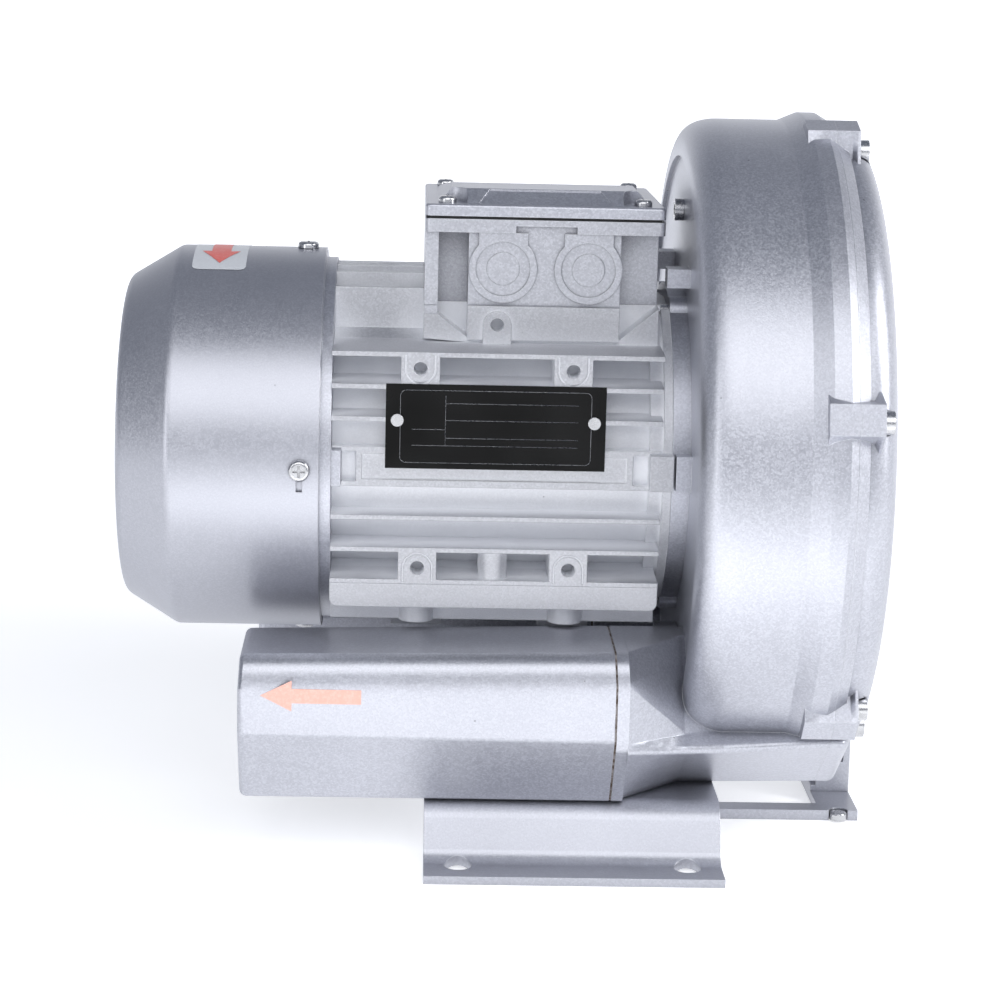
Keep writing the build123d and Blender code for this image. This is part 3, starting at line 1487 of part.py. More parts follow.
parts = {
    "base_plate": base_plate,
    "arm_rivets": arm_rivets,
    "base_screws": base_screws,
    "blower_housing": blower_housing,
    "back_screws": back_screws,
    "casing_seal": casing_seal,
    "blower_cover": blower_cover,
    "cover_screws": cover_screws,
    "cover_leg": cover_leg,
    "leg_screw": leg_screw,
    "outlet_silencer": silencer,
    "inlet_silencer": lambda: mirror(silencer(), about=Plane.XZ),
    "outlet_foam": silencer_foam,
    "inlet_foam": lambda: mirror(silencer_foam(), about=Plane.XZ),
    "silencer_gaskets": lambda: group([silencer_gasket(), mirror(silencer_gasket(), about=Plane.XZ)]),
    "impeller": impeller,
    "impeller_key": impeller_key,
    "impeller_washer": impeller_washer,
    "impeller_bolt": impeller_bolt,
    "rotor_shaft": rotor_shaft,
    "drive_bearing_outer": lambda: bearing_outer(drive_bearing_x),
    "drive_bearing_inner": lambda: bearing_inner(drive_bearing_x),
    "fan_bearing_outer": lambda: bearing_outer(fan_bearing_x),
    "fan_bearing_inner": lambda: bearing_inner(fan_bearing_x),
    "wave_washer": wave_washer,
    "shaft_seal": shaft_seal,
    "stator_core": stator_core,
    "stator_windings": stator_windings,
    "rotor_core": rotor_core,
    "rotor_cage": rotor_cage,
    "motor_frame": motor_frame,
    "tie_rods": tie_rods,
    "end_shield": end_shield,
    "fan_cowl": fan_cowl,
    "cowl_screws": cowl_screws,
    "cooling_fan": cooling_fan,
    "fan_key": fan_key,
    "fan_ring": fan_ring,
    "terminal_box": terminal_box,
    "lid_gasket": lid_gasket,
    "terminal_lid": terminal_lid,
    "lid_screws": lid_screws,
    "terminal_block": terminal_block,
    "terminal_studs": terminal_studs,
    "nameplate": nameplate,
    "nameplate_rivets": nameplate_rivets,
}

os.makedirs("parts", exist_ok=True)
for name, make in parts.items():
    export_step(make(), f"parts/{name}.step")
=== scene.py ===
import bpy
import bmesh
import json
import math
from mathutils import Matrix, Vector


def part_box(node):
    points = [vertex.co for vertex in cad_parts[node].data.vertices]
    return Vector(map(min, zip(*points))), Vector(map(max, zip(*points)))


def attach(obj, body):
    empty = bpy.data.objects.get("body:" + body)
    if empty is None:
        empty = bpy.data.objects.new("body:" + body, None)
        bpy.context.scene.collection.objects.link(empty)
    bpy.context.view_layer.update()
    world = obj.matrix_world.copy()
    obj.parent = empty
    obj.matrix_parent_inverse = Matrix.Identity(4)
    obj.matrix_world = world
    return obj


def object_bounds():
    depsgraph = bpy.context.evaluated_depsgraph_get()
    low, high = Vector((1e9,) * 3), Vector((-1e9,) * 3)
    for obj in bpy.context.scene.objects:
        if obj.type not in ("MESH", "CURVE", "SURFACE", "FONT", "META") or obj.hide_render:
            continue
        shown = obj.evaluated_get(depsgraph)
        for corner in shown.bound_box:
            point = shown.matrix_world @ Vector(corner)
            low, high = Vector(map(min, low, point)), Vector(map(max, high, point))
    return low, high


# The looks of the side channel blower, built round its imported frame. Lengths are in metres.

# Camera of the photograph: place, aim in degrees and focal length in pixels of a frame 1000 wide
CAMERA_PLACE = (-0.0616, -1.0567, 0.3261)
CAMERA_YAW = 1.93
CAMERA_PITCH = 11.18
CAMERA_ROLL = 1.38
CAMERA_REACH = 200.0
FOCAL_PIXELS = 2772.0
FRAME_PIXELS = 1000.0
SENSOR = 36.0

# Soft boxes, all aimed at one point: name, place, width, height and power
LIGHT_TARGET = (0.0, 0.0, 0.14)
LIGHTS = (
    ("front box", (-0.05, -1.20, 1.05), 1.5, 1.10, 10.0),
    ("left box", (-0.90, -0.80, 0.45), 0.22, 0.95, 2.2),
    ("right box", (0.95, -0.45, 0.70), 0.30, 0.80, 7.0),
)

# Room: colours, and how much of the wall's colour is left in front and on the left
CEILING = (0.20, 0.22, 0.27, 1.0)
WALL = (1.2, 1.21, 1.25, 1.0)
FRONT_WALL = 0.18
LEFT_WALL = 0.12

# Floor: half its size, its drop under the base, and its glow beside, in front of and behind the object
FLOOR_REACH = 60.0
FLOOR_DROP = 0.0001
GLOW = 0.55
GLOW_FRONT = 1.3
GLOW_BACK = 1.1
GLOW_PLACE = (-0.06, -0.34, 0.0)
GLOW_REACH = (0.30, 0.14)
GLOW_FADE = (0.4, 1.3)
GLOW_BACK_RANGE = (0.25, 1.2)
GLOW_COLOUR = (0.97, 0.98, 1.0, 1.0)

# Colours that every painted or bare metal shares
FLAKE_LIGHT = (0.93, 0.95, 1.0, 1.0)
FLAKE_DARK = (0.20, 0.21, 0.24, 1.0)
# Paler colour on edges: partly worn paint, partly a painted highlight of light caught by rounded edges
EDGE_WEAR_AND_HIGHLIGHT = (0.86, 0.87, 0.90, 1.0)
# Painted light: pale colour laid into deep places in place of light bounced into them
PAINTED_DEPTH_LIGHT = (0.88, 0.89, 0.92, 1.0)
# Painted shade: dark colour laid into corners and recesses, where shadow falls
PAINTED_CORNER_SHADE = (0.045, 0.045, 0.055, 1.0)
SPECK = (0.08, 0.08, 0.09, 1.0)
SPECK_CELL = 0.013
SPECK_RADIUS = 0.0003

# Blue cast of the paints. The box and frame values belong to copies of one silver paint and are set for how
# light falls on those parts
CAST_BLUE = 0.10
BOX_BLUE = 0.08
FRAME_BLUE = 0.06
STEEL_BLUE = 0.02

# Silencers: near flat face, its draft along the length, and their upper outer corner with its heights, the
# fall of the top towards the port, the last angle, how late it turns, and where it starts from the middle
SILENCER_SEAM_X = 0.0133
SILENCER_LENGTH = 0.1345
SILENCER_FACE = 0.107
SILENCER_DRAFT = 0.003
SHOULDER_LOW = 0.060
SHOULDER_HIGH = 0.0805
SHOULDER_FALL = 0.003
SHOULDER_TURN = 1.45
SHOULDER_CURVE = 5.0
SHOULDER_OUTER = (0.092, 0.0935)
SHOULDER_ENDS = (0.3, 0.5)
SHOULDER_FADE = 0.002
SHOULDER_TOP_FADE = (0.0002, 0.0004)
SHOULDER_SIDE_FADE = 0.010

# Where the corner starts in height and stops along the shaft, on the silencers and on the ducts
SILENCER_SHOULDER = (SHOULDER_LOW, 1.0)
DUCT_SHOULDER = (0.046, 0.040)

# Thickness of a printed film
FILM = 0.00012

# Flow arrow on the near silencer
ARROW_TIP_X = -0.1129
ARROW_HEAD = 0.0111
ARROW_LENGTH = 0.0358
ARROW_HALF_HEAD = 0.0056
ARROW_HALF_SHAFT = 0.0026
ARROW_HEIGHT = 0.0656

# Thin border of the nameplate, and ruled lines as shares of the plate: left, right, top and foot
PLATE_LINE = 0.00022
PLATE_LINE_INSET_X = 0.0052
PLATE_LINE_INSET_Z = 0.0021
PLATE_LINE_RADIUS = 0.0022
PLATE_CORNER_STEPS = 6
PLATE_RULES = (
    (0.27, 0.875, 0.22, 0.22), (0.27, 0.875, 0.42, 0.42), (0.27, 0.875, 0.63, 0.63),
    (0.12, 0.875, 0.72, 0.72), (0.12, 0.27, 0.53, 0.53), (0.27, 0.27, 0.13, 0.72),
)

# Cowl, and the label on it: ends along the shaft, angles from the top in degrees, corner and arrow
SHAFT_HEIGHT = 0.141
COWL_RADIUS = 0.0728
COWL_FILM_CUTS = 4
LABEL_X = (-0.1435, -0.1235)
LABEL_ANGLES = (-16.0, 23.0)
LABEL_CORNER = 0.0025
LABEL_CORNER_STEPS = 4
LABEL_ARROW_HALF_HEAD = 0.0072
LABEL_ARROW_HALF_SHAFT = 0.0036
LABEL_ARROW_TIP_GAP = 4.0
LABEL_ARROW_HEAD = 10.0
LABEL_ARROW_END_GAP = 5.0

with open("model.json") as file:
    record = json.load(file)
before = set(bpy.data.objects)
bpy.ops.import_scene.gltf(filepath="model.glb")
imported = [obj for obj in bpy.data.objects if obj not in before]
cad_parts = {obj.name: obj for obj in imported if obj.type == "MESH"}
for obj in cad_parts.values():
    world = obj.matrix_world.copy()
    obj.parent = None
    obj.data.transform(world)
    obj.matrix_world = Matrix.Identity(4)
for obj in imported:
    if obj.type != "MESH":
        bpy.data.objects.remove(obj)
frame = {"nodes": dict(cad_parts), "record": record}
cad_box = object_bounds()
nodes = frame["nodes"]


# Small helpers for node materials

def new_material(name):
    """Empty node material with a principled shader, as (material, tree, shader)."""
    material = bpy.data.materials.new(name)
    material.use_nodes = True
    tree = material.node_tree
    return material, tree, tree.nodes["Principled BSDF"]


def node(tree, kind, inputs=None, **settings):
    """One shader node with its settings and inputs. An input is a number or another node's output."""
    item = tree.nodes.new(kind)
    for key, value in settings.items():
        setattr(item, key, value)
    for key, value in (inputs or {}).items():
        if isinstance(value, bpy.types.NodeSocket):
            tree.links.new(value, item.inputs[key])
        else:
            item.inputs[key].default_value = value
    return item


def place_of(tree):
    """Place on the piece, in metres."""
    return node(tree, "ShaderNodeTexCoord").outputs["Object"]


def axes_of(tree, vector):
    """The three parts of a vector, by the names X, Y and Z."""
    return node(tree, "ShaderNodeSeparateXYZ", {"Vector": vector}).outputs


def noise(tree, size, detail=2.0, roughness=0.5):
    """Noise whose features are about size wide."""
    inputs = {"Vector": place_of(tree), "Scale": 1 / size, "Detail": detail, "Roughness": roughness}
    return node(tree, "ShaderNodeTexNoise", inputs).outputs["Fac"]


def flakes(tree, size):
    """Random grey per cell, as metal flakes in paint have."""
    cells = node(tree, "ShaderNodeTexVoronoi", {"Vector": place_of(tree), "Scale": 1 / size})
    return node(tree, "ShaderNodeSeparateColor", {"Color": cells.outputs["Color"]}).outputs["Red"]


def spread(tree, value, low, high, to_low, to_high):
    """Value moved from one range to another and kept inside it."""
    inputs = {"Value": value, "From Min": low, "From Max": high, "To Min": to_low, "To Max": to_high}
    return node(tree, "ShaderNodeMapRange", inputs).outputs["Result"]


def mix(tree, share, first, second):
    """Colour between two colours, each a colour or another node's output."""
    return node(tree, "ShaderNodeMix", {0: share, 6: first, 7: second}, data_type="RGBA").outputs[2]


def bump(tree, height, depth, normal=None):
    """Normal of a surface with small hills on it, which lie on another normal where one is given."""
    inputs = {"Height": height, "Distance": depth, "Strength": 1.0}
    if normal is not None:
        inputs["Normal"] = normal
    return node(tree, "ShaderNodeBump", inputs).outputs["Normal"]


def calculate(tree, operation, *values):
    """Result of one operation on one or two values."""
    return node(tree, "ShaderNodeMath", dict(enumerate(values)), operation=operation).outputs[0]


def multiply(tree, *values):
    """Product of two or more values."""
    result = values[0]
    for value in values[1:]:
        result = calculate(tree, "MULTIPLY", result, value)
    return result


def grey(value, blue=0.0):
    """Grey with a slight blue cast."""
    return (value * (1 - blue), value * (1 - blue * 0.85), value, 1.0)


def edge_share(tree, radius):
    """Rounded normal, and a share that is 0 on flat metal and 1 on its edges, as (normal, share)."""
    soft = node(tree, "ShaderNodeBevel", {"Radius": radius}, samples=6).outputs["Normal"]
    true = node(tree, "ShaderNodeNewGeometry").outputs["Normal"]
    same = node(tree, "ShaderNodeVectorMath", {0: soft, 1: true}, operation="DOT_PRODUCT").outputs["Value"]
    return soft, spread(tree, same, 0.80, 0.99, 1.0, 0.0)


def round_shoulder(tree, soft, start, stop):
    """Turn the normal of a silencer's upper outer corner from level to upright as the height grows.

    It begins at the height start, and fades out before stop along the shaft. Ends, inner sides and the flat
    top keep the normal soft.
    """
    place = axes_of(tree, place_of(tree))
    along = axes_of(tree, node(tree, "ShaderNodeNewGeometry").outputs["True Normal"])["X"]
    port_x = SILENCER_SEAM_X - SILENCER_LENGTH
    fall = spread(tree, place["X"], port_x, SILENCER_SEAM_X, SHOULDER_FALL, 0.0)
    height = calculate(tree, "ADD", place["Z"], fall)
    share = spread(tree, height, SHOULDER_LOW, SHOULDER_HIGH, 0.0, 1.0)
    turn = multiply(tree, calculate(tree, "POWER", share, SHOULDER_CURVE), SHOULDER_TURN)
    side = calculate(tree, "SIGN", place["Y"])
    level = multiply(tree, calculate(tree, "COSINE", turn), side)
    upright = calculate(tree, "SINE", turn)
    rounded = node(tree, "ShaderNodeCombineXYZ", {"X": 0.0, "Y": level, "Z": upright}).outputs["Vector"]
    top_start, top_stop = (SHOULDER_HIGH + fade for fade in SHOULDER_TOP_FADE)
    here = multiply(
        tree,
        spread(tree, calculate(tree, "ABSOLUTE", place["Y"]), *SHOULDER_OUTER, 0.0, 1.0),
        spread(tree, calculate(tree, "ABSOLUTE", along), *SHOULDER_ENDS, 1.0, 0.0),
        spread(tree, height, start, start + SHOULDER_FADE, 0.0, 1.0),
        spread(tree, height, top_start, top_stop, 1.0, 0.0),
        spread(tree, place["X"], stop - SHOULDER_SIDE_FADE, stop, 1.0, 0.0),
    )
    return node(tree, "ShaderNodeMix", {0: here, 4: soft, 5: rounded}, data_type="VECTOR").outputs[1]


def specks(tree, cell, radius):
    """Few small dots, one at most in each cell."""
    cells = node(tree, "ShaderNodeTexVoronoi", {"Vector": place_of(tree), "Scale": 1 / cell})
    dot = spread(tree, cells.outputs["Distance"], radius / cell, 1.5 * radius / cell, 1.0, 0.0)
    chance = node(tree, "ShaderNodeSeparateColor", {"Color": cells.outputs["Color"]}).outputs["Green"]
    return multiply(tree, dot, spread(tree, chance, 0.55, 0.6, 0.0, 1.0))


def finish(name, colour, shade, metallic=0.86, roughness=0.38, grain=0.0006, depth=0.00005, flake=0.16,
           corner_shade=0.35, edge=0.0005, patch=0.05, wave=0.0, worn=0.35, speck=0.5, shoulder=None, reach=0.004,
           lift=0.0):
    """Painted or bare metal.

    It has patches of two colours, flakes, grain and waves, softened edges that are paler, partly as worn
    paint and partly as a painted highlight, specks, and painted shade that darkens the corners as deep as
    reach. Lift paints light into deep places, which it makes paler and less metallic, and shoulder rounds
    the upper corner of a silencer or duct.
    """
    material, tree, shader = new_material(name)
    patches = spread(tree, noise(tree, patch, 3.0), 0.3, 0.7, 0.0, 1.0)
    base = mix(tree, patches, shade, colour)
    glint = flakes(tree, grain)
    base = mix(tree, spread(tree, glint, 0.5, 1.0, 0.0, flake), base, FLAKE_LIGHT)
    base = mix(tree, spread(tree, glint, 0.5, 0.0, 0.0, flake), base, FLAKE_DARK)
    soft, rim = edge_share(tree, edge)
    if shoulder:
        soft = round_shoulder(tree, soft, *shoulder)
    # Edges turn paler by up to worn: partly worn paint, partly a painted highlight
    edge_wear_and_highlight = multiply(tree, rim, spread(tree, noise(tree, 0.004, 3.0), 0.35, 0.65, 0.2, worn))
    base = mix(tree, edge_wear_and_highlight, base, EDGE_WEAR_AND_HIGHLIGHT)
    shader.inputs["Metallic"].default_value = metallic
    corner = node(tree, "ShaderNodeAmbientOcclusion", {"Distance": reach}, samples=6).outputs["AO"]
    # Painted light: lift makes deep places paler and less metallic in place of light bounced into them
    if lift:
        deep = spread(tree, corner, 0.35, 0.85, lift, 0.0)
        base = mix(tree, deep, base, PAINTED_DEPTH_LIGHT)
        tree.links.new(spread(tree, deep, 0.0, 1.0, metallic, 0.0), shader.inputs["Metallic"])
    # Painted shade: the colour darkens where ambient occlusion finds a corner or recess, as deep as reach
    painted_shade = spread(tree, corner, 0.2, 0.75, corner_shade, 0.0)
    base = mix(tree, painted_shade, base, PAINTED_CORNER_SHADE)
    base = mix(tree, multiply(tree, specks(tree, SPECK_CELL, SPECK_RADIUS), speck), base, SPECK)
    tree.links.new(base, shader.inputs["Base Color"])
    rough = spread(tree, glint, 0.0, 1.0, roughness - 0.05, roughness + 0.07)
    tree.links.new(rough, shader.inputs["Roughness"])
    if wave:
        soft = bump(tree, noise(tree, 0.0028, 2.0), wave, soft)
    tree.links.new(bump(tree, noise(tree, grain, 3.0), depth, soft), shader.inputs["Normal"])
    return material


def plain_material(name, colour, second, metallic, roughness, size=0.004, depth=0.00005):
    """Moulded, rubber, foam or turned surface with a mottled colour and a fine bump."""
    material, tree, shader = new_material(name)
    mottle = spread(tree, noise(tree, size, 4.0), 0.3, 0.7, 0.0, 1.0)
    tree.links.new(mix(tree, mottle, colour, second), shader.inputs["Base Color"])
    fine = noise(tree, size / 6, 3.0)
    rough = spread(tree, fine, 0.3, 0.7, roughness - 0.06, roughness + 0.06)
    tree.links.new(rough, shader.inputs["Roughness"])
    shader.inputs["Metallic"].default_value = metallic
    tree.links.new(bump(tree, fine, depth), shader.inputs["Normal"])
    return material


def laminated(name):
    """Edges of stacked steel sheets along X."""
    material, tree, shader = new_material(name)
    sheets = node(tree, "ShaderNodeTexWave", {"Vector": place_of(tree), "Scale": 300.0, "Distortion": 0.4},
                  wave_type="BANDS", bands_direction="X").outputs["Fac"]
    tree.links.new(mix(tree, sheets, grey(0.16), grey(0.34)), shader.inputs["Base Color"])
    shader.inputs["Metallic"].default_value = 0.9
    shader.inputs["Roughness"].default_value = 0.42
    tree.links.new(bump(tree, sheets, 0.0001), shader.inputs["Normal"])
    return material


def black_plate():
    """Polished black plate with faint wipe marks."""
    material, tree, shader = new_material("polished black plate")
    marks = spread(tree, noise(tree, 0.035, 2.0), 0.35, 0.8, 0.0, 1.0)
    tree.links.new(mix(tree, marks, grey(0.001), grey(0.010)), shader.inputs["Base Color"])
    tree.links.new(spread(tree, marks, 0.0, 1.0, 0.03, 0.14), shader.inputs["Roughness"])
    shader.inputs["Specular IOR Level"].default_value = 0.14
    soft = node(tree, "ShaderNodeBevel", {"Radius": 0.0002}, samples=4).outputs["Normal"]
    tree.links.new(bump(tree, noise(tree, 0.03, 2.0), 0.00008, soft), shader.inputs["Normal"])
    return material


def gasket_material():
    """Brown gasket with silver paint that ran over its edge."""
    material, tree, shader = new_material("painted over gasket")
    blots = spread(tree, noise(tree, 0.003, 4.0, 0.7), 0.42, 0.6, 0.0, 1.0)
    colour = mix(tree, blots, (0.10, 0.065, 0.045, 1), (0.36, 0.33, 0.32, 1))
    tree.links.new(colour, shader.inputs["Base Color"])
    shader.inputs["Roughness"].default_value = 0.7
    tree.links.new(bump(tree, noise(tree, 0.0012, 3.0), 0.0002), shader.inputs["Normal"])
    return material


def decal_material(name, colour, worn):
    """Thin printed film with worn spots."""
    material, tree, shader = new_material(name)
    fade = spread(tree, noise(tree, 0.0012, 4.0, 0.7), 0.45, 0.72, 0.0, 0.55)
    tree.links.new(mix(tree, fade, colour, worn), shader.inputs["Base Color"])
    shader.inputs["Roughness"].default_value = 0.38
    shader.inputs["Specular IOR Level"].default_value = 0.4
    return material


# Materials of the record's slots and of single nodes

def slot_materials():
    """One node material for each slot of the record."""
    # Every finish here lays painted shade into its corners, as much as recess gives
    return {
        "cast_silver": finish(
            "cast silver paint", grey(0.58, CAST_BLUE), grey(0.54, CAST_BLUE), wave=0.00003),
        "cowl_silver": finish(
            "cowl silver paint", grey(0.53, CAST_BLUE), grey(0.51, CAST_BLUE), grain=0.0005, depth=0.00002,
            flake=0.10, corner_shade=0.3),
        "base_silver": finish(
            "base silver paint", grey(0.55, CAST_BLUE), grey(0.52, CAST_BLUE), roughness=0.37, depth=0.00003,
            flake=0.12),
        "zinc": finish(
            "zinc plated steel", grey(0.66, STEEL_BLUE), grey(0.52, STEEL_BLUE), 1.0, 0.24, grain=0.0009,
            depth=0.00002, flake=0.08, edge=0.0003, patch=0.01, speck=0.0),
        "steel": finish(
            "ground steel", grey(0.60, STEEL_BLUE), grey(0.50, STEEL_BLUE), 1.0, 0.22, depth=0.00001,
            flake=0.05, speck=0.0),
        "black_plate": black_plate(),
        "rubber": plain_material("black rubber", grey(0.03), grey(0.05), 0.0, 0.62),
        "foam": plain_material(
            "silencer foam", grey(0.07), grey(0.12), 0.0, 0.9, size=0.003, depth=0.0006),
        "fan_plastic": plain_material("fan plastic", grey(0.035), grey(0.05), 0.0, 0.45),
        "raw_aluminium": finish(
            "raw cast aluminium", grey(0.74), grey(0.62), 1.0, 0.42, depth=0.00008, patch=0.02),
        "laminations": laminated("steel laminations"),
        "copper": plain_material(
            "varnished copper", (0.55, 0.22, 0.09, 1), (0.40, 0.14, 0.05, 1), 0.8, 0.3),
        "brass": plain_material("turned brass", (0.72, 0.52, 0.20, 1), (0.60, 0.42, 0.15, 1), 1.0, 0.28),
        "block_plastic": plain_material("terminal block plastic", grey(0.05), grey(0.08), 0.0, 0.5),
    }


def node_materials():
    """Materials of the nodes that are set apart from the rest of their slot. The frame and box paints are
    darker copies of one silver paint, the frame with painted light and shade, the box with painted shade.
    """
    silver = (grey(0.58, CAST_BLUE), grey(0.54, CAST_BLUE))
    silencer = finish("silencer paint", *silver, wave=0.00002, shoulder=SILENCER_SHOULDER)
    casing = finish("casing paint", *silver, wave=0.00002, shoulder=DUCT_SHOULDER)
    # Painted light and shade: the frame is the same silver paint, darker and less blue, with its deep places
    # made paler
    fins = finish("frame paint with painted light and shade", grey(0.52, FRAME_BLUE), grey(0.48, FRAME_BLUE), 0.80, 0.42, corner_shade=0.0,
                  worn=0.0, reach=0.014, lift=0.9)
    # Painted shade: the box is the same silver paint, darker, with strong painted shade in its corners and
    # recesses
    box = finish("box paint with painted shade", grey(0.55, BOX_BLUE), grey(0.51, BOX_BLUE), wave=0.00002, corner_shade=0.75,
                 reach=0.012)
    return {
        "blower_housing": casing, "motor_frame": fins, "terminal_box": box, "outlet_silencer": silencer,
        "inlet_silencer": silencer, "silencer_gaskets": gasket_material(),
    }


def dress_nodes():
    """Give each CAD node the material of its slot, or its own."""
    slots = slot_materials()
    own = node_materials()
    for part in frame["record"]["subparts"]:
        item = nodes[part["node"]]
        item.data.materials.clear()
        item.data.materials.append(own.get(part["node"], slots[part["material_slot"]]))


# Pieces that lie on the CAD nodes

def new_piece(name, vertices, faces, material, body="root", smooth=True):
    """Mesh piece from its points and faces, riding on a body."""
    mesh = bpy.data.meshes.new(name)
    mesh.from_pydata(vertices, [], faces)
    mesh.validate()
    item = bpy.data.objects.new(name, mesh)
    bpy.context.scene.collection.objects.link(item)
    item.data.materials.append(material)
    for face in mesh.polygons:
        face.use_smooth = smooth
    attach(item, body)


def silencer_face(x):
    """Y of the near silencer's flat face at x."""
    return -(SILENCER_FACE - SILENCER_DRAFT * (SILENCER_SEAM_X - x) / SILENCER_LENGTH)


def flow_arrow():
    """Flow arrow on the near silencer, pointing out of its port."""
    head_x = ARROW_TIP_X + ARROW_HEAD
    end_x = ARROW_TIP_X + ARROW_LENGTH
    outline = [
        (ARROW_TIP_X, 0), (head_x, -ARROW_HALF_HEAD), (head_x, -ARROW_HALF_SHAFT),
        (end_x, -ARROW_HALF_SHAFT), (end_x, ARROW_HALF_SHAFT), (head_x, ARROW_HALF_SHAFT),
        (head_x, ARROW_HALF_HEAD),
    ]
    count = len(outline)
    front = [(x, silencer_face(x) - FILM, ARROW_HEIGHT + z) for x, z in outline]
    back = [(x, silencer_face(x) + FILM / 2, ARROW_HEIGHT + z) for x, z in outline]
    sides = [(i, (i + 1) % count, count + (i + 1) % count, count + i) for i in range(count)]
    faces = [tuple(range(count)), tuple(reversed(range(count, 2 * count)))] + sides
    paint = decal_material("faded red film", (0.84, 0.44, 0.36, 1), (0.84, 0.64, 0.58, 1))
    new_piece("flow_arrow", front + back, faces, paint, smooth=False)


def rounded_frame(half_x, half_z, radius):
    """Points of a rectangle with round corners, round the origin."""
    points = []
    for side_x, side_z, start in ((1, 1, 0), (-1, 1, 90), (-1, -1, 180), (1, -1, 270)):
        for i in range(PLATE_CORNER_STEPS + 1):
            turn = math.radians(start + 90 * i / PLATE_CORNER_STEPS)
            points.append((side_x * (half_x - radius) + radius * math.cos(turn),
                           side_z * (half_z - radius) + radius * math.sin(turn)))
    return points


def plate_border(low, high, material):
    """Plain thin line round the nameplate, which lies between two corners."""
    middle = (low + high) / 2
    half_x = (high.x - low.x) / 2 - PLATE_LINE_INSET_X
    half_z = (high.z - low.z) / 2 - PLATE_LINE_INSET_Z
    outer = rounded_frame(half_x, half_z, PLATE_LINE_RADIUS)
    inner = rounded_frame(half_x - PLATE_LINE, half_z - PLATE_LINE, PLATE_LINE_RADIUS - PLATE_LINE)
    count = len(outer)
    points = []
    for y in (low.y - FILM / 4, low.y + FILM / 4):
        points += [(middle.x + x, y, middle.z + z) for x, z in outer + inner]
    faces = []
    for i in range(count):
        j = (i + 1) % count
        faces.append((i, j, count + j, count + i))
        faces.append((3 * count + i, 3 * count + j, 2 * count + j, 2 * count + i))
        faces.append((i, 2 * count + i, 2 * count + j, j))
        faces.append((count + j, 3 * count + j, 3 * count + i, count + i))
    new_piece("plate_line", points, faces, material)


def plate_rules(low, high, material):
    """Plain ruled lines on the nameplate, without any text."""
    wide, tall = high.x - low.x, high.z - low.z
    sides = ((0, 1, 2, 3), (7, 6, 5, 4), (0, 4, 5, 1), (1, 5, 6, 2), (2, 6, 7, 3), (3, 7, 4, 0))
    points, faces = [], []
    for x0, x1, z0, z1 in PLATE_RULES:
        left, top = low.x + x0 * wide, high.z - z0 * tall
        right = max(low.x + x1 * wide, left + PLATE_LINE)
        foot = min(high.z - z1 * tall, top - PLATE_LINE)
        first = len(points)
        for y in (low.y - FILM / 4, low.y + FILM / 4):
            points += [(left, y, foot), (right, y, foot), (right, y, top), (left, y, top)]
        faces += [tuple(first + i for i in side) for side in sides]
    new_piece("plate_rules", points, faces, material)


def plate_lines():
    """Everything that is engraved on the nameplate: a border and ruled lines."""
    low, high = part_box("nameplate")
    line = finish("bare engraved line", grey(0.42), grey(0.30), 1.0, 0.3, patch=0.006, speck=0.0)
    plate_border(low, high, line)
    plate_rules(low, high, line)


def on_cowl(x, angle, lift):
    """Point on the cowl at an angle from the top, positive towards the near side."""
    radius = COWL_RADIUS + lift
    return (x, -radius * math.sin(angle), SHAFT_HEIGHT + radius * math.cos(angle))


def cowl_patch(name, outline, lift, material):
    """Film on the cowl from an outline in (x, angle in degrees), filled with small faces."""
    flat = bmesh.new()
    corners = [flat.verts.new((x, math.radians(angle) * COWL_RADIUS, 0)) for x, angle in outline]
    flat.faces.new(corners)
    bmesh.ops.triangulate(flat, faces=flat.faces[:])
    for _ in range(COWL_FILM_CUTS):
        bmesh.ops.subdivide_edges(flat, edges=flat.edges[:], cuts=1, use_grid_fill=True)
    flat.verts.index_update()
    points = [on_cowl(v.co.x, v.co.y / COWL_RADIUS, lift) for v in flat.verts]
    faces = [tuple(v.index for v in f.verts) for f in flat.faces]
    flat.free()
    new_piece(name, points, faces, material)


def rotation_label():
    """Pale label with a red arrow on top of the cowl, for the direction of rotation."""
    x0, x1 = LABEL_X
    a0, a1 = LABEL_ANGLES
    radius = LABEL_CORNER
    turn = math.degrees(radius / COWL_RADIUS)
    corners = []
    for x, angle, start in ((x0 + radius, a0 + turn, 180), (x1 - radius, a0 + turn, 270),
                            (x1 - radius, a1 - turn, 0), (x0 + radius, a1 - turn, 90)):
        for i in range(LABEL_CORNER_STEPS + 1):
            t = math.radians(start + 90 * i / LABEL_CORNER_STEPS)
            corners.append((x + radius * math.cos(t), angle + turn * math.sin(t)))
    film = decal_material("pale film", (0.62, 0.64, 0.67, 1), (0.55, 0.57, 0.60, 1))
    cowl_patch("rotation_label", corners, FILM, film)
    red = decal_material("red print", (0.72, 0.14, 0.12, 1), (0.78, 0.30, 0.27, 1))
    middle = (x0 + x1) / 2
    head, shaft = LABEL_ARROW_HALF_HEAD, LABEL_ARROW_HALF_SHAFT
    tip = a1 - LABEL_ARROW_TIP_GAP
    neck = tip - LABEL_ARROW_HEAD
    end = a0 + LABEL_ARROW_END_GAP
    arrow = [
        (middle, tip), (middle + head, neck), (middle + shaft, neck), (middle + shaft, end),
        (middle - shaft, end), (middle - shaft, neck), (middle - head, neck),
    ]
    cowl_patch("rotation_arrow", arrow, FILM * 2, red)


# Camera, light and floor

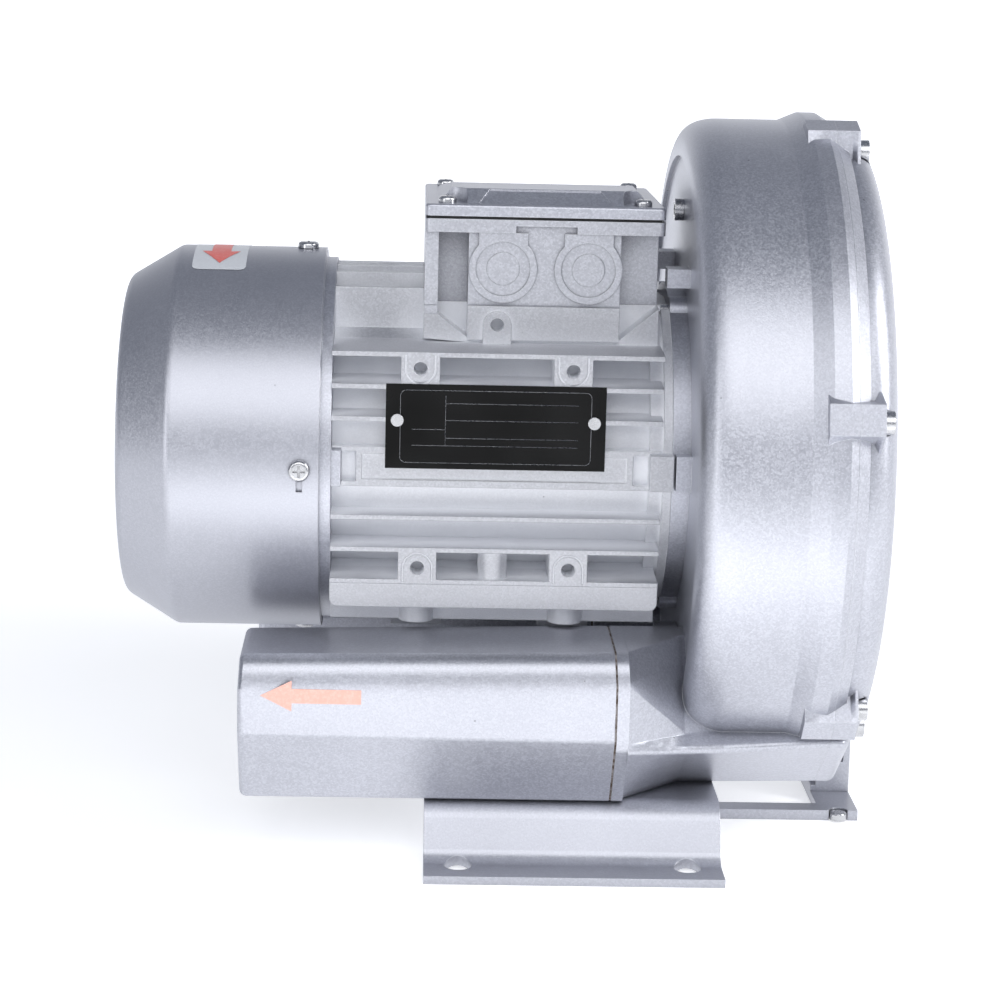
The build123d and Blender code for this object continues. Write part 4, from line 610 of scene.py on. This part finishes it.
def camera():
    """Camera of the photograph."""
    yaw, pitch, roll = (math.radians(a) for a in (CAMERA_YAW, CAMERA_PITCH, CAMERA_ROLL))
    ahead = Vector((math.sin(yaw) * math.cos(pitch), math.cos(yaw) * math.cos(pitch), -math.sin(pitch)))
    right = ahead.cross(Vector((0, 0, 1))).normalized()
    up = right.cross(ahead)
    across = math.cos(roll) * right + math.sin(roll) * up
    over = math.cos(roll) * up - math.sin(roll) * right
    data = bpy.data.cameras.new("camera")
    data.sensor_fit = "HORIZONTAL"
    data.sensor_width = SENSOR
    data.lens = FOCAL_PIXELS / FRAME_PIXELS * SENSOR
    data.clip_end = CAMERA_REACH
    item = bpy.data.objects.new("camera", data)
    bpy.context.scene.collection.objects.link(item)
    turn = Matrix((across, over, -ahead)).transposed().to_4x4()
    item.matrix_world = Matrix.Translation(CAMERA_PLACE) @ turn
    bpy.context.scene.camera = item


def area_light(name, place, width, height, power):
    """Soft box that looks at the object."""
    data = bpy.data.lights.new(name, "AREA")
    data.shape = "RECTANGLE"
    data.size = width
    data.size_y = height
    data.energy = power
    item = bpy.data.objects.new(name, data)
    bpy.context.scene.collection.objects.link(item)
    aim = Vector(LIGHT_TARGET) - Vector(place)
    item.location = place
    item.rotation_euler = aim.to_track_quat("-Z", "Y").to_euler()


def studio():
    """Wide soft box above the camera, tall ones on both sides, bright walls behind and a dim ceiling."""
    for light in LIGHTS:
        area_light(*light)
    world = bpy.data.worlds.new("pale room")
    bpy.context.scene.world = world
    world.use_nodes = True
    tree = world.node_tree
    shader = tree.nodes["Background"]
    toward = axes_of(tree, node(tree, "ShaderNodeTexCoord").outputs["Generated"])
    low = spread(tree, toward["Z"], 0.15, 0.75, 1.0, 0.0)
    behind = spread(tree, toward["Y"], -0.4, 0.6, FRONT_WALL, 1.0)
    beside = spread(tree, toward["X"], -0.75, -0.05, LEFT_WALL, 1.0)
    share = multiply(tree, low, behind, beside)
    tree.links.new(mix(tree, share, CEILING, WALL), shader.inputs["Color"])
    shader.inputs["Strength"].default_value = 1.0


def floor_glow(tree):
    """Strength of the floor's glow: a patch in front of the object on top of a rise towards the back."""
    place = place_of(tree)
    scale = (1 / GLOW_REACH[0], 1 / GLOW_REACH[1], 1.0)
    shift = tuple(-p * s for p, s in zip(GLOW_PLACE, scale))
    mapping = {"Vector": place, "Location": shift, "Scale": scale}
    patch = node(tree, "ShaderNodeMapping", mapping).outputs["Vector"]
    away = node(tree, "ShaderNodeVectorMath", {0: patch}, operation="LENGTH").outputs["Value"]
    front = spread(tree, away, *GLOW_FADE, GLOW_FRONT, 0.0)
    back = spread(tree, axes_of(tree, place)["Y"], *GLOW_BACK_RANGE, GLOW, GLOW_BACK)
    return calculate(tree, "ADD", front, back)


def floor():
    """Plain pale floor of an overexposed studio, which glows."""
    material, tree, shader = new_material("pale floor")
    tone = spread(tree, noise(tree, 0.4, 2.0), 0.3, 0.7, 0.84, 0.86)
    shade = node(tree, "ShaderNodeCombineColor", {"Red": tone, "Green": tone, "Blue": tone})
    tree.links.new(shade.outputs["Color"], shader.inputs["Base Color"])
    shader.inputs["Roughness"].default_value = 0.9
    shader.inputs["Specular IOR Level"].default_value = 0.1
    shader.inputs["Emission Color"].default_value = GLOW_COLOUR
    tree.links.new(floor_glow(tree), shader.inputs["Emission Strength"])
    mesh = bpy.data.meshes.new("floor")
    corners = [(x * FLOOR_REACH, y * FLOOR_REACH, 0) for x, y in ((-1, -1), (1, -1), (1, 1), (-1, 1))]
    mesh.from_pydata(corners, [], [(0, 1, 2, 3)])
    item = bpy.data.objects.new("floor", mesh)
    item.location.z = cad_box[0][2] - FLOOR_DROP
    bpy.context.scene.collection.objects.link(item)
    item.data.materials.append(material)


bpy.context.scene.view_settings.view_transform = "Standard"
dress_nodes()
flow_arrow()
plate_lines()
rotation_label()
camera()
studio()
floor()
